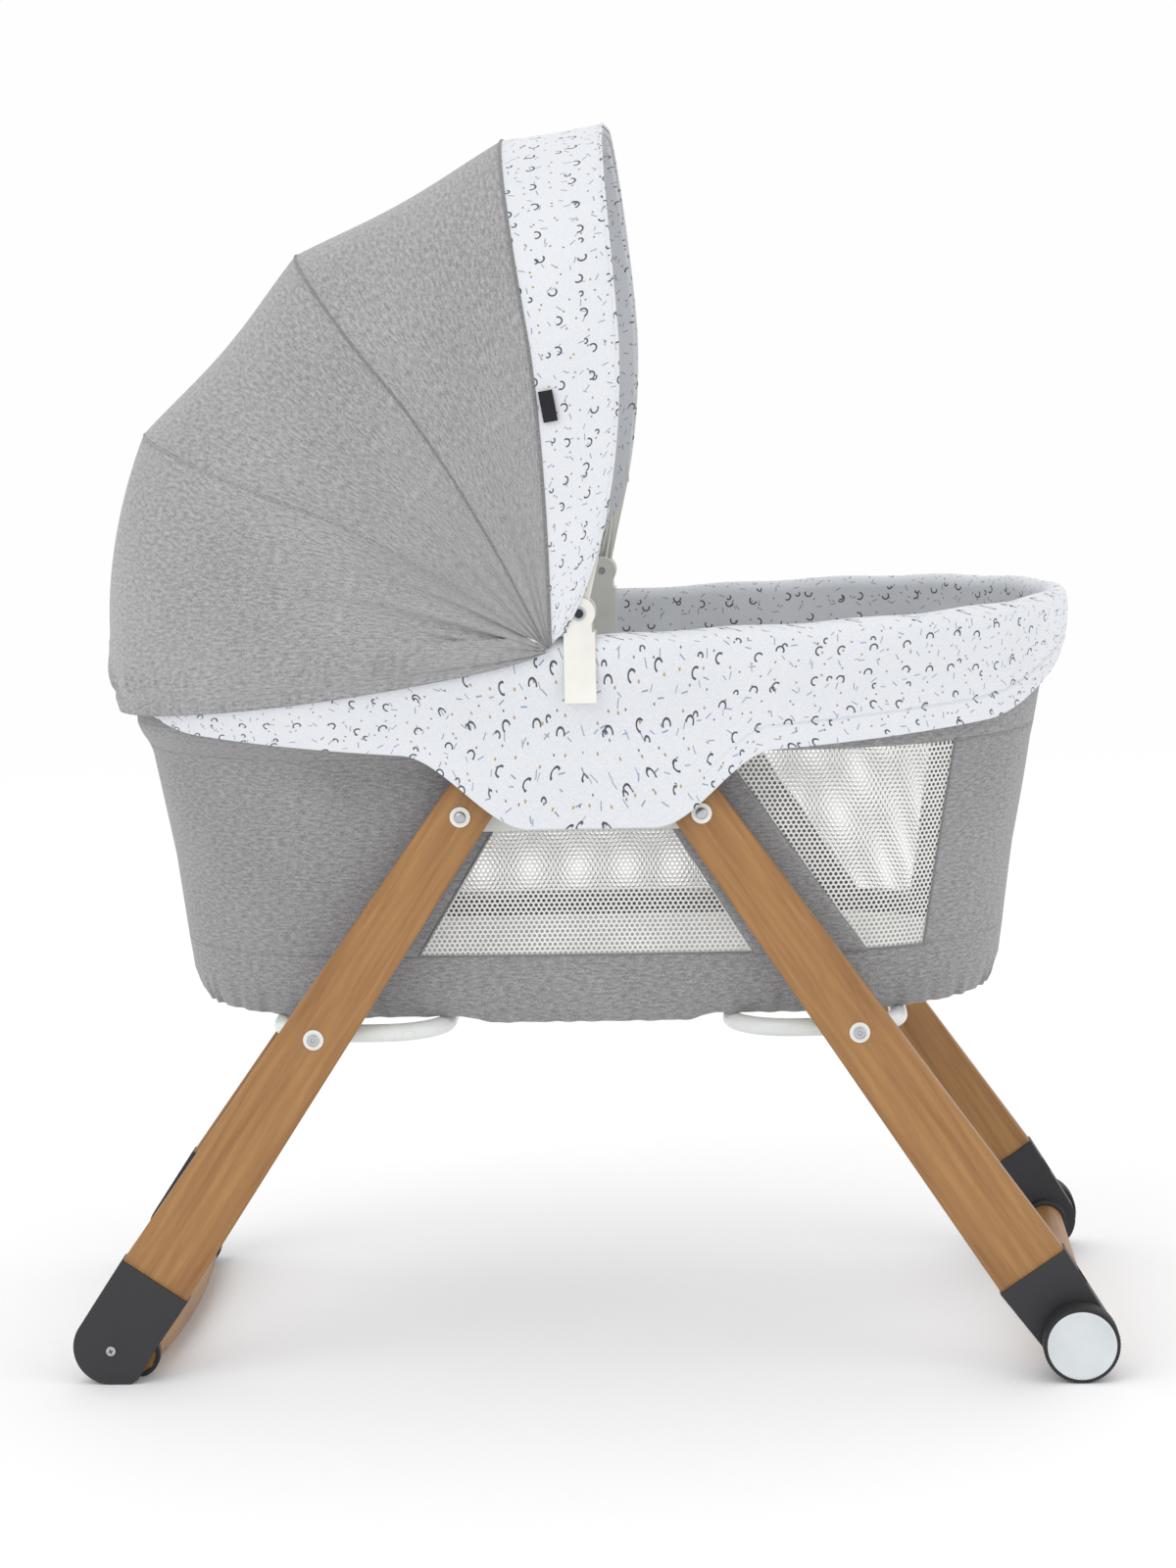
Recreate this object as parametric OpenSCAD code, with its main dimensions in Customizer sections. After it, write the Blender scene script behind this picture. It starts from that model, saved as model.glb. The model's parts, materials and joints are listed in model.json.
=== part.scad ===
// Bassinet on a beech A-frame stand, with a folding hood.
// +X is the foot end (wheels), -X the head end (hood), +Z up, Z = 0 the floor.
// The origin is on the floor, half way between the feet.

/* [Stand] */
// Half the distance between the foot centres, along X
foot_x = 432; // [360:1:520]
// Radius of the rounded feet and of the wheels
foot_r = 34; // [28:1:40]
// Distance over the outer faces of the legs, across Y
stand_w = 460; // [420:1:560]
// Thickness of a leg
leg_t = 20; // [16:1:26]
// Width of a leg at its top end
leg_top_w = 46; // [40:1:54]
// Width of a leg where it enters the foot
leg_foot_w = 68; // [60:1:76]
// Half the distance between the upper leg bolts
bolt_x = 106; // [90:1:130]
// Height of the upper leg bolts
bolt_z = 508; // [470:1:560]
// Distance down the leg from the upper bolt to the lower bolt
bolt_pitch = 239; // [210:1:260]
// Length of leg above the upper bolt
leg_over = 34; // [26:1:40]
// Height of the plastic foot along the leg, above the foot centre
shoe_h = 73; // [60:1:90]
// Depth of the leg's tenon inside the plastic foot
tenon_h = 40; // [25:1:50]
// Wall of the plastic foot beside the leg
shoe_wall = 3; // [2:0.5:5]
// Diameter of the head-end stretcher
stretcher_d = 36; // [28:1:40]
// Bow of the head-end stretcher at mid span
stretcher_bow = 12; // [6:1:20]
// Diameter of the foot-end stretcher
dowel_d = 35; // [28:1:40]

/* [Wheels] */
// Width of a tyre
tyre_w = 26; // [20:1:34]
// Thickness of a tyre
tyre_t = 3; // [2:0.5:6]
// Diameter of a wheel axle
axle_d = 10; // [8:1:14]
// Gap between a wheel and its housing
wheel_gap = 1.5; // [0.5:0.5:4]
// Radial clearance between axle and wheel
axle_clear = 0.1; // [0.05:0.05:0.3]

/* [Fasteners] */
// Diameter of the leg bolts
bolt_d = 6; // [5:1:8]
// Diameter of the washers under the bolt heads
washer_d = 18; // [14:1:22]
// Thickness of a washer
washer_t = 1.5; // [1:0.5:2]
// Radial clearance of a bolt in its hole
bolt_clear = 0.15; // [0.1:0.05:0.4]

/* [Basket frame] */
// Height of the rim tube's centre at mid length
rim_z = 656; // [620:1:700]
// Rise of the rim towards the foot end, degrees
rim_tilt = 2.3; // [0:0.1:3]
// Half length of the rim's straight sides
rim_straight = 181; // [150:1:220]
// Radius of the rim's round ends, to the tube's centre
rim_r = 250; // [242:1:280]
// Diameter of the rim tube
rim_d = 16; // [12:1:18]
// Diameter of the base loop tubes
loop_d = 16; // [12:1:20]
// Outer edge of a base loop, beyond the lower leg bolts
loop_past = 44.6; // [35:0.1:60]
// Length of a base loop, along X
loop_w = 166; // [150:1:200]
// Bend radius of a base loop
loop_bend = 55; // [40:1:70]
// Wall of the base loop tubes and the rim tube
tube_wall = 1.5; // [1:0.5:2.5]
// Thickness of the side bracket's steel
bracket_t = 3; // [2:0.5:4]
// Length of the bracket's sleeve round the rim tube
sleeve_l = 120; // [80:1:160]

/* [Basket] */
// Distance of the basket's bottom edge inside the legs
base_inset = 36; // [30:1:50]
// Wall of the basket's fabric
cloth_t = 2; // [1.5:0.5:3]
// Thickness of the base board
board_t = 4; // [3:1:8]
// Thickness of the mattress
mattress_t = 36; // [25:1:50]
// Height of the lower edge of the mesh windows
window_z = 376; // [360:1:400]
// Depth of the printed cover's lower edge below the rim tube's centre
edge_drop = 91; // [80:1:100]
// How far the cover's tongue hangs below that edge
tongue_drop = 67; // [50:1:80]
// Half length of the tongue's bottom
tongue_in = 55; // [40:1:70]
// Half length of the tongue where it meets the edge
tongue_out = 165; // [140:1:180]
// Rise of the edge along the sides, per unit of length
edge_slope = 0.08; // [0:0.01:0.12]
// Further rise of the edge round the ends
end_rise = 60; // [20:1:80]
// Thickness of the printed cover
cover_t = 1.6; // [1:0.2:2.4]

/* [Hood] */
// Place of the hood's pivot along X
hub_x = 4; // [0:1:12]
// Height of the hood's pivot above the rim tube's centre
hub_rise = 32; // [30:1:40]
// Reach of the lead hoop from the pivot
lead_reach = 424; // [380:1:460]
// Angle of the lead hoop's top from upright, seen from the pivot, degrees
lead_angle = 2.9; // [0:0.1:8]
// Forward lean of the hood's arms, degrees
arm_lean = 14; // [10:1:20]
// Length of the hood's arms
arm_l = 95; // [80:1:110]
// Reach of the front rib
front_reach = 416.5; // [380:0.5:460]
// Angle of the front rib
front_angle = -9.5; // [-14:0.1:-6]
// Reach of the middle rib
mid_reach = 405.5; // [370:0.5:450]
// Angle of the middle rib
mid_angle = -39.5; // [-45:0.1:-34]
// Reach of the rear rib
rear_reach = 431; // [400:0.5:460]
// Angle of the rear rib
rear_angle = -68.9; // [-74:0.1:-64]
// Angle of the hood's elastic hem
hem_angle = -102.9; // [-106:0.1:-99]
// Bend radius of the hoops at their top corners
hoop_bend = 190; // [150:1:215]
// Diameter of the hoop wire
wire_d = 4.6; // [4:0.1:5]
// Thickness of the hood's cloth
hood_t = 1.5; // [1:0.5:2.5]
// Width of the clips on the rim
clip_w = 27.5; // [22:0.5:34]
// Depth of the clips below the rim tube's centre
clip_drop = 46; // [36:1:56]

/* [Hidden] */
$fn = 48;
eps = 0.01;
gap = 0.3;

leg_angle = atan2(foot_x - bolt_x, bolt_z - foot_r);
leg_len = norm([foot_x - bolt_x, bolt_z - foot_r]);
leg_y = stand_w / 2;                 // outer face of a leg
leg_in_y = leg_y - leg_t;            // inner face of a leg
low_bolt_x = bolt_x + bolt_pitch * sin(leg_angle);
low_bolt_z = bolt_z - bolt_pitch * cos(leg_angle);
shoe_y = leg_y + shoe_wall;          // outer face of a plastic foot
shoe_in_y = leg_in_y - shoe_wall;
housing_r = foot_r - 3;
bore_r = bolt_d / 2 + bolt_clear;
head_r = 5.25;
head_h = 3.6;
nut_h = 4;
stretcher_x = foot_x - 18;
stretcher_z = stretcher_d / 2 + 3;
stretcher_ring = (pow(shoe_in_y, 2) + pow(stretcher_bow, 2)) / (2 * stretcher_bow);
stretcher_turn = asin(shoe_in_y / stretcher_ring);  // half the bow's sweep

loop_z = low_bolt_z;
loop_x1 = low_bolt_x + loop_past;
loop_x0 = loop_x1 - loop_w;
loop_y = leg_in_y - gap - loop_d / 2;
basket_z = loop_z + loop_d / 2 + gap; // underside of the basket
base_r = leg_in_y - base_inset;      // half width of the basket at its bottom
basket_top_r = rim_r - rim_d / 2;    // half width of the basket at its top
// The lower nuts seat on the loop's inner face, further in where its corner has begun to bend
nut_reach = max(0, low_bolt_x + bolt_d - (loop_x1 - loop_d / 2 - loop_bend));
loop_nut_y = loop_y - loop_bend + sqrt(pow(loop_bend - loop_d / 2, 2) - pow(nut_reach, 2));

cover_gap = rim_d / 2 + 2.4;         // cover's inside to the rim tube's centre
cover_r = rim_r + cover_gap + cover_t;
cover_top = cover_gap + cover_t;
lining_clear = 1;                    // from the basket's wall to the cover's lining, past the wall's flats
lining_r = basket_top_r - cloth_t - lining_clear;
cover_end = rim_straight + cover_r;  // half length of the cover
lining_h = 58;                       // depth of the cover's lining below the rim tube's centre
end_from = cover_end - 93;           // where its edge starts to rise round the ends
sleeve_r = rim_d / 2 + 1.6;          // its outside clears the cover's roll

// The basket's lower levels, from the bottom up: height, half length of the straight, end radius
basket_levels = [
    [basket_z, rim_straight + 11, base_r],
    [bolt_z + 40, rim_straight + 25, leg_in_y - bracket_t - 5]
];
neck_drop = lining_h + 4;  // depth of the basket's upper level below the rim, just under the lining
basket_top_drop = rim_d / 2 + 6;

hub_z = rim_z + hub_rise;
clip_y0 = lining_r - cover_t - gap;           // clip's slot, inner side
clip_y1 = rim_r + cover_gap + cover_t + gap;  // clip's slot, outer side
clip_wall = 2.6;
lug_r = 14;
lug_t = 4;
eye_play = 0.5;                               // least play of a hoop's eye along the pivot
lug_in = [clip_y0 - clip_wall, clip_y0 - clip_wall + lug_t];
// The outer wall stands where the four eyes need it, and never closer than its own thickness
clip_out_y = max(clip_y1 + clip_wall, lug_in[1] + 4 * (wire_d + eye_play) + lug_t);
lug_out = [clip_out_y - lug_t, clip_out_y];
ply = (lug_out[0] - lug_in[1]) / 4;           // room of each hoop eye between the lugs
hoop_y = [for (i = [0:3]) lug_out[0] - (i + 0.5) * ply]; // lead, front, middle, rear
pivot_d = 6;
pivot_clear = 0.1;
hood_clear = 2.1;
wire_in = hood_t + hood_clear + wire_d / 2;   // cloth's outside to the wire's centre
socket_l = 30;
seam_gap = 0.06;                              // half angle left open between hood panels
open_turn = 0.4;                              // how far a panel's hollow runs past its end ribs

wood = "#ac844c";
charcoal = "#3e3e42";
zinc = "#b9bcc0";
ivory = "#e4e3dc";
tube_white = "#e1e4e2";
print_white = "#e5e8ec";
heather = "#969290";

// ---- helpers ----

// Turns and shifts a flat XZ drawing into place: children are drawn in X and Z, extruded along Y
module along_y(y0, y1) {
    translate([0, y1, 0]) rotate([90, 0, 0]) linear_extrude(y1 - y0) children();
}

// A bar along Y
module bar_y(x, z, r, y0, y1) {
    translate([x, y0, z]) rotate([-90, 0, 0]) cylinder(h = y1 - y0, r = r);
}

// Puts a part at the near side (side = -1) or mirrors it to the far side (side = 1)
module at_side(side) {
    if (side < 0) mirror([0, 1, 0]) children();
    else children();
}

// Puts a part at the foot end (dir = 1) or mirrors it to the head end (dir = -1)
module at_end(dir) {
    if (dir < 0) mirror([1, 0, 0]) children();
    else children();
}

// Leg frame: origin at the upper bolt, +Y down the leg
module leg_frame() {
    translate([bolt_x, bolt_z]) rotate(leg_angle) mirror([0, 1]) children();
}

// Sweeps a profile drawn in (distance from the centre line, height) round a stadium
module stadium_sweep(straight) {
    for (side = [-1, 1])
        translate([side * straight, 0, 0]) rotate([0, 0, -side * 90])
            rotate_extrude(angle = 180) children();
    for (side = [-1, 1])
        translate([-side * straight, 0, 0]) rotate([90, 0, side * 90])
            linear_extrude(2 * straight) children();
}

// Flat stadium outline
module stadium(straight, r) {
    square([2 * straight, 2 * r], center = true);
    for (side = [-1, 1]) translate([side * straight, 0]) circle(r = r);
}

// Tilts children with the rim, about its middle
module rim_frame() {
    translate([0, 0, rim_z]) rotate([0, -rim_tilt, 0]) children();
}

// ---- stand ----

module leg_outline(end, grow = 0) {
    top_w = leg_top_w + grow * 2;
    foot_w = leg_foot_w + grow * 2;
    full = leg_len - shoe_h + end;
    polygon([
        [-top_w / 2, -leg_over + leg_top_w / 3], [-top_w / 3, -leg_over],
        [top_w / 3, -leg_over], [top_w / 2, -leg_over + leg_top_w / 3],
        [foot_w / 2, full], [-foot_w / 2, full]
    ]);
}

// One leg of the foot end, far side; the other legs mirror it
module leg() {
    difference() {
        along_y(leg_in_y, leg_y) leg_frame() leg_outline(tenon_h);
        bar_y(bolt_x, bolt_z, bore_r, leg_in_y - 1, leg_y + 1);
        bar_y(low_bolt_x, low_bolt_z, bore_r, leg_in_y - 1, leg_y + 1);
    }
}

module leg_head_near() { color(wood) at_end(-1) at_side(-1) leg(); }
module leg_head_far() { color(wood) at_end(-1) leg(); }
module leg_foot_near() { color(wood) at_side(-1) leg(); }
module leg_foot_far() { color(wood) leg(); }

// Plastic end of a leg: a band as wide as the leg that ends in a round foot
module foot_outline(r) {
    w = leg_foot_w / 2 + 1;
    leg_frame() {
        polygon([
            [-w, leg_len - shoe_h], [w, leg_len - shoe_h],
            [r, leg_len], [-r, leg_len]
        ]);
        translate([0, leg_len]) circle(r = r);
    }
}

module foot_body(r) {
    difference() {
        along_y(shoe_in_y, shoe_y) foot_outline(r);
        along_y(leg_in_y, leg_y) leg_frame() leg_outline(tenon_h, eps);
    }
}

// Foot of the head end: a flat toe on the inner side and a boss that holds the stretcher
module foot_shoe() {
    boss_r = stretcher_d / 2 + 4;
    pocket = shoe_wall - 0.6;
    difference() {
        union() {
            foot_body(foot_r);
            along_y(shoe_in_y, shoe_y) polygon([
                [foot_x, 0], [foot_x - 17, 0], [foot_x - 24, 5],
                [foot_x - 34, 22], [foot_x - 20, foot_r]
            ]);
            bar_y(stretcher_x, stretcher_z, boss_r, shoe_in_y - 9, shoe_in_y + eps);
        }
        translate([stretcher_x, shoe_in_y, stretcher_z]) rotate([90, 0, -stretcher_turn])
            translate([0, 0, -pocket]) cylinder(h = pocket + 14, r = stretcher_d / 2);
        bar_y(foot_x, foot_r - 3, 2.1, shoe_y - 6, shoe_y + 1);
    }
}

module foot_shoe_near() { color(charcoal) at_end(-1) at_side(-1) foot_shoe(); }
module foot_shoe_far() { color(charcoal) at_end(-1) foot_shoe(); }

// Housing of the foot end: carries the axle outside and the dowel inside
module wheel_housing() {
    difference() {
        union() {
            foot_body(housing_r);
            bar_y(foot_x, foot_r, dowel_d / 2 + 4, shoe_in_y - 12, shoe_in_y + eps);
        }
        bar_y(foot_x, foot_r, axle_d / 2, shoe_in_y, shoe_y + 1);
        bar_y(foot_x, foot_r, dowel_d / 2, shoe_in_y - 13, shoe_in_y);
    }
}

module wheel_housing_near() { color(charcoal) at_side(-1) wheel_housing(); }
module wheel_housing_far() { color(charcoal) wheel_housing(); }

// Bent stretcher: an arc of a ring whose chord joins the two shoes
module head_stretcher() {
    ring_r = stretcher_ring;
    sweep = 2 * stretcher_turn;
    color(wood)
        translate([-stretcher_x + stretcher_bow - ring_r, 0, stretcher_z])
            rotate([0, 0, -sweep / 2]) rotate_extrude(angle = sweep, $fn = 256)
                translate([ring_r, 0]) circle(r = stretcher_d / 2 - 0.5);
}

module foot_stretcher() {
    color(wood) bar_y(foot_x, foot_r, dowel_d / 2 - 0.1, -shoe_in_y, shoe_in_y);
}

// ---- wheels ----

wheel_y0 = shoe_y + wheel_gap;
wheel_y1 = wheel_y0 + tyre_w;
cap_r = foot_r - tyre_t - 0.5;

module axle() {
    bar_y(foot_x, foot_r, axle_d / 2, shoe_in_y, wheel_y1 - 5);
    bar_y(foot_x, foot_r, axle_d / 2 + 3, wheel_y1 - 5, wheel_y1 - 3);
}

module wheel_core() {
    difference() {
        bar_y(foot_x, foot_r, foot_r - tyre_t, wheel_y0, wheel_y1 - 1);
        bar_y(foot_x, foot_r, axle_d / 2 + axle_clear, wheel_y0 - 1, wheel_y1);
        bar_y(foot_x, foot_r, axle_d / 2 + 4, wheel_y1 - 5 - gap, wheel_y1);
    }
}

module tyre() {
    difference() {
        bar_y(foot_x, foot_r, foot_r, wheel_y0, wheel_y1);
        bar_y(foot_x, foot_r, foot_r - tyre_t, wheel_y0 - 1, wheel_y1 + 1);
    }
}

module wheel_cap() {
    bar_y(foot_x, foot_r, cap_r, wheel_y1 - 1, wheel_y1 + 0.8);
}

module axle_near() { color(zinc) at_side(-1) axle(); }
module axle_far() { color(zinc) axle(); }
module wheel_core_near() { color(charcoal) at_side(-1) wheel_core(); }
module wheel_core_far() { color(charcoal) wheel_core(); }
module tyre_near() { color("#2b2b2d") at_side(-1) tyre(); }
module tyre_far() { color("#2b2b2d") tyre(); }
module wheel_cap_near() { color("#d2d7da") at_side(-1) wheel_cap(); }
module wheel_cap_far() { color("#d2d7da") wheel_cap(); }

// ---- fasteners ----

// Repeats children at every corner of the stand
module four_corners() {
    for (dir = [-1, 1], side = [-1, 1]) at_end(dir) at_side(side) children();
}

module leg_bolt(x, z, inner) {
    seat = leg_y + washer_t;
    bar_y(x, z, bolt_d / 2, inner, seat);
    bar_y(x, z, head_r, seat, seat + head_h);
}

module upper_bolts() {
    color(zinc) four_corners() leg_bolt(bolt_x, bolt_z, leg_in_y - bracket_t - nut_h);
}

module lower_bolts() {
    socket_r = 2;
    color(zinc) four_corners() difference() {
        leg_bolt(low_bolt_x, low_bolt_z, loop_nut_y - nut_h);
        translate([low_bolt_x, leg_y + washer_t + head_h - 2, low_bolt_z])
            rotate([-90, 0, 0]) cylinder(h = 3, r = socket_r, $fn = 6);
    }
}

module leg_washers() {
    color(ivory) four_corners()
        for (p = [[bolt_x, bolt_z], [low_bolt_x, low_bolt_z]])
            difference() {
                bar_y(p[0], p[1], washer_d / 2, leg_y, leg_y + washer_t);
                bar_y(p[0], p[1], bore_r, leg_y - 1, leg_y + washer_t + 1);
            }
}

module leg_nuts() {
    color(zinc) four_corners()
        for (p = [
            [bolt_x, bolt_z, leg_in_y - bracket_t],
            [low_bolt_x, low_bolt_z, loop_nut_y]
        ])
            difference() {
                translate([p[0], p[2] - nut_h, p[1]]) rotate([-90, 0, 0])
                    cylinder(h = nut_h, r = bolt_d, $fn = 6);
                bar_y(p[0], p[1], bolt_d / 2, p[2] - nut_h - 1, p[2] + 1);
            }
}

module shoe_screws() {
    color(zinc) for (side = [-1, 1]) at_end(-1) at_side(side) {
        bar_y(foot_x, foot_r - 3, 2, shoe_y - 6, shoe_y);
        bar_y(foot_x, foot_r - 3, 5, shoe_y, shoe_y + 1.8);
    }
}

// ---- basket frame ----

module rim_tube() {
    color(tube_white) rim_frame() stadium_sweep(rim_straight)
        translate([rim_r, 0]) difference() {
            circle(d = rim_d);
            circle(d = rim_d - 2 * tube_wall);
        }
}

// Closed loop of tube under the basket, drilled for the lower bolts
module base_loop() {
    x0 = loop_x0 + loop_d / 2;
    x1 = loop_x1 - loop_d / 2;
    difference() {
        translate([0, 0, loop_z]) {
            for (x = [x0, x1]) bar_y(x, 0, loop_d / 2, -loop_y + loop_bend, loop_y - loop_bend);
            for (side = [-1, 1])
                translate([x0 + loop_bend, side * loop_y, 0]) rotate([0, 90, 0])
                    cylinder(h = x1 - x0 - 2 * loop_bend, r = loop_d / 2);
            for (corner = [[x0, 1, 90], [x1, 1, 0], [x0, -1, 180], [x1, -1, 270]])
                translate([
                    corner[0] + (corner[0] == x0 ? loop_bend : -loop_bend),
                    corner[1] * (loop_y - loop_bend), 0
                ]) rotate([0, 0, corner[2]]) rotate_extrude(angle = 90)
                    translate([loop_bend, 0]) circle(r = loop_d / 2);
        }
        bar_y(low_bolt_x, low_bolt_z, bore_r, -loop_y - loop_d, loop_y + loop_d);
    }
}

module base_loop_head() { color(tube_white) at_end(-1) base_loop(); }
module base_loop_foot() { color(tube_white) base_loop(); }

// Pressed steel: a bar behind the two legs, a web that leans out and a sleeve on the rim tube
module side_bracket() {
    bar_h = 32;
    web_w = sleeve_l / 2;
    web_z0 = bolt_z + 34;
    web_z1 = rim_z - neck_drop - 5;
    y0 = leg_in_y - bracket_t;
    y1 = rim_r - rim_d / 2 + 1;
    difference() {
        union() {
            along_y(y0, leg_in_y) {
                translate([-bolt_x, bolt_z - bar_h / 2]) square([2 * bolt_x, bar_h]);
                for (side = [-1, 1]) translate([side * bolt_x, bolt_z]) circle(d = bar_h);
                translate([-web_w, bolt_z]) square([2 * web_w, web_z0 - bolt_z]);
            }
            translate([-web_w, 0, 0]) rotate([90, 0, 90]) linear_extrude(2 * web_w)
                polygon([
                    [y0, web_z0 - eps], [leg_in_y, web_z0 - eps], [y1 + bracket_t, web_z1],
                    [y1 + bracket_t, rim_z - rim_d / 2], [y1, rim_z - rim_d / 2], [y1, web_z1]
                ]);
            rim_frame() translate([-web_w, rim_r, 0]) rotate([0, 90, 0])
                cylinder(h = 2 * web_w, r = sleeve_r);
        }
        rim_frame() translate([-web_w - 9, rim_r, 0]) rotate([0, 90, 0])
            cylinder(h = 2 * web_w + 18, r = rim_d / 2 + 0.1);
        for (side = [-1, 1]) bar_y(side * bolt_x, bolt_z, bore_r, y0 - 1, leg_in_y + 1);
    }
}

module side_bracket_near() { color(tube_white) at_side(-1) side_bracket(); }
module side_bracket_far() { color(tube_white) side_bracket(); }

// ---- basket ----

// One flat level of the basket, as a thin slab
module level_slab(i, inset) {
    l = basket_levels[i];
    translate([0, 0, l[0]]) linear_extrude(0.02) stadium(l[1], l[2] - inset);
}

// The basket as a filled shape, each side moved in by inset: its top part follows the rim
module basket_form(inset) {
    rise = inset > 0 ? 1 : 0;
    hull() {
        level_slab(0, inset);
        level_slab(1, inset);
    }
    hull() {
        level_slab(1, inset);
        rim_frame() translate([0, 0, -neck_drop]) linear_extrude(neck_drop - basket_top_drop + rise)
            stadium(rim_straight, basket_top_r - inset);
    }
}

// Window outlines in X and Z: the middle one between the legs, the other behind the foot legs
module window_outlines(shrink = 0) {
    lean = tan(leg_angle);
    top = rim_z - 96;
    c = shrink * 1.2;
    mid_x = bolt_x + 44;
    right_x0 = low_bolt_x + 8;
    polygon([
        [-mid_x + c, window_z + shrink], [mid_x - c, window_z + shrink],
        [mid_x - (top - window_z) * lean - c + 14, top - shrink],
        [-mid_x + (top - window_z) * lean + c - 14, top - shrink]
    ]);
    polygon([
        [right_x0 + c, window_z + shrink], [right_x0 + 52 - c, window_z + shrink],
        [right_x0 + 82 - c, top - shrink], [right_x0 - (top - window_z) * lean + c, top - shrink]
    ]);
}

module basket_shell() {
    difference() {
        basket_form(0);
        difference() {
            basket_form(cloth_t);
            translate([0, 0, basket_z - 1]) linear_extrude(1 + cloth_t)
                square([2 * foot_x, 2 * rim_r], center = true);
        }
    }
}

module basket_fabric() {
    color(heather) difference() {
        basket_shell();
        for (side = [-1, 1]) at_side(side) along_y(20, rim_r) window_outlines();
    }
}

module mesh_windows(side) {
    color("#e1e1de") intersection() {
        basket_shell();
        at_side(side) along_y(20, rim_r) window_outlines(0.2);
    }
}
module mesh_windows_near() { mesh_windows(-1); }
module mesh_windows_far() { mesh_windows(1); }

board_z = basket_z + cloth_t;

module base_board() {
    color("#cfc7b6") translate([0, 0, board_z]) linear_extrude(board_t)
        stadium(basket_levels[0][1], base_r - cloth_t - 2);
}

module mattress() {
    color("#f2f2ee") translate([0, 0, board_z + board_t]) linear_extrude(mattress_t)
        stadium(basket_levels[0][1], base_r - cloth_t - 3);
}

// Printed cover: an outer flap, a roll over the rim tube and a lining flap inside the basket
module cover_profile() {
    out = cover_r;
    top = cover_top;
    in_r = lining_r;
    t = cover_t;
    lean = 16;       // how far the outer flap draws in
    lean_h = 85;     // over this height
    flap_h = edge_drop + tongue_drop + 8;
    polygon([
        [out - lean, -flap_h], [out - lean - t, -flap_h], [out - lean - t, -lean_h],
        [out - t, 2], [out - t - 4, top - t - 2], [out - t - 8, top - t],
        [in_r + 8, top - t], [in_r + 4, top - t - 2], [in_r, 2], [in_r, -lining_h],
        [in_r - t, -lining_h], [in_r - t, 4], [in_r + 3 - t, top - 2], [in_r + 7 - t, top],
        [out - 7, top], [out - 3, top - 2], [out, 4], [out - lean, -lean_h]
    ]);
}

// Height of the cover's lower edge at a distance from mid length: a tongue over the leg tops,
// then a slow rise along the sides and a quicker one round the ends
function ease(t) = t * t * (3 - 2 * t);
function cover_edge_at(u) =
    rim_z - edge_drop
    - tongue_drop * (1 - ease(min(1, max(0, (u - tongue_in) / (tongue_out - tongue_in)))))
    + edge_slope * max(0, u - tongue_out)
    + end_rise * pow(max(0, u - end_from) / (cover_end - end_from), 2);

module cover_edge() {
    steps = 36;
    reach = cover_end + hub_x + 1;
    polygon(concat(
        [[reach, rim_z + 60], [-reach, rim_z + 60]],
        [for (i = [0:steps]) let (x = -reach + 2 * reach * i / steps) [x, cover_edge_at(abs(x - hub_x))]]
    ));
}

module printed_cover() {
    color(print_white) intersection() {
        rim_frame() stadium_sweep(rim_straight) cover_profile();
        along_y(-cover_r - 1, cover_r + 1) cover_edge();
    }
}

// ---- hood ----

// Clip: a channel over the rim, with two lugs above it for the hood's pivot
module hood_clip() {
    slot_top = rim_z + cover_top + 0.8;
    clip_top = slot_top + clip_wall;
    difference() {
        union() {
            translate([hub_x - clip_w / 2, clip_y0 - clip_wall, rim_z - clip_drop])
                cube([clip_w, clip_out_y - clip_y0 + clip_wall, clip_top - rim_z + clip_drop]);
            for (lug = [lug_in, lug_out]) {
                bar_y(hub_x, hub_z, lug_r, lug[0], lug[1]);
                translate([hub_x - lug_r + 3, lug[0], clip_top - eps])
                    cube([2 * lug_r - 6, lug[1] - lug[0], hub_z - clip_top]);
            }
        }
        translate([hub_x - clip_w, clip_y0, rim_z - clip_drop - 1])
            cube([2 * clip_w, clip_y1 - clip_y0, slot_top - rim_z + clip_drop + 1]);
        bar_y(hub_x, hub_z, pivot_d / 2, lug_in[0] - 1, lug_out[1] + 1);
    }
}

module hood_clip_near() { color(ivory) at_side(-1) hood_clip(); }
module hood_clip_far() { color(ivory) hood_clip(); }

module pivot_screws() {
    color(zinc) for (side = [-1, 1]) at_side(side) {
        bar_y(hub_x, hub_z, pivot_d / 2, lug_in[0] - 1.2, lug_out[1]);
        bar_y(hub_x, hub_z, 6.3, lug_out[1], lug_out[1] + 1.4);
        bar_y(hub_x, hub_z, 6.3, lug_in[0] - 1.2, lug_in[0]);
    }
}

// Frame of a rib: origin on the pivot axis, +Z towards the rib's top
module rib_frame(angle) {
    translate([hub_x, 0, hub_z]) rotate([0, angle, 0]) children();
}

// Bent wire over the basket: two upright sides from start up, round corners and a level top
module hoop_wire(y, top, start) {
    side_l = top - hoop_bend;
    for (side = [-1, 1]) {
        translate([0, side * y, start]) cylinder(h = side_l - start, d = wire_d);
        translate([0, side * (y - hoop_bend), side_l])
            rotate([90, 0, side > 0 ? 90 : -90]) rotate_extrude(angle = 90)
                translate([hoop_bend, 0]) circle(d = wire_d);
    }
    translate([0, -y + hoop_bend, top]) rotate([-90, 0, 0])
        cylinder(h = 2 * (y - hoop_bend), d = wire_d);
}

// A rib: the wire with a flat eye at each end
module rib(angle, y, reach) {
    eye_r = 9;
    rib_frame(angle) difference() {
        union() {
            hoop_wire(y, reach - wire_in, 0);
            for (side = [-1, 1])
                bar_y(0, 0, eye_r, side * y - wire_d / 2, side * y + wire_d / 2);
        }
        bar_y(0, 0, pivot_d / 2 + pivot_clear, -rim_r - 30, rim_r + 30);
    }
}

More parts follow.
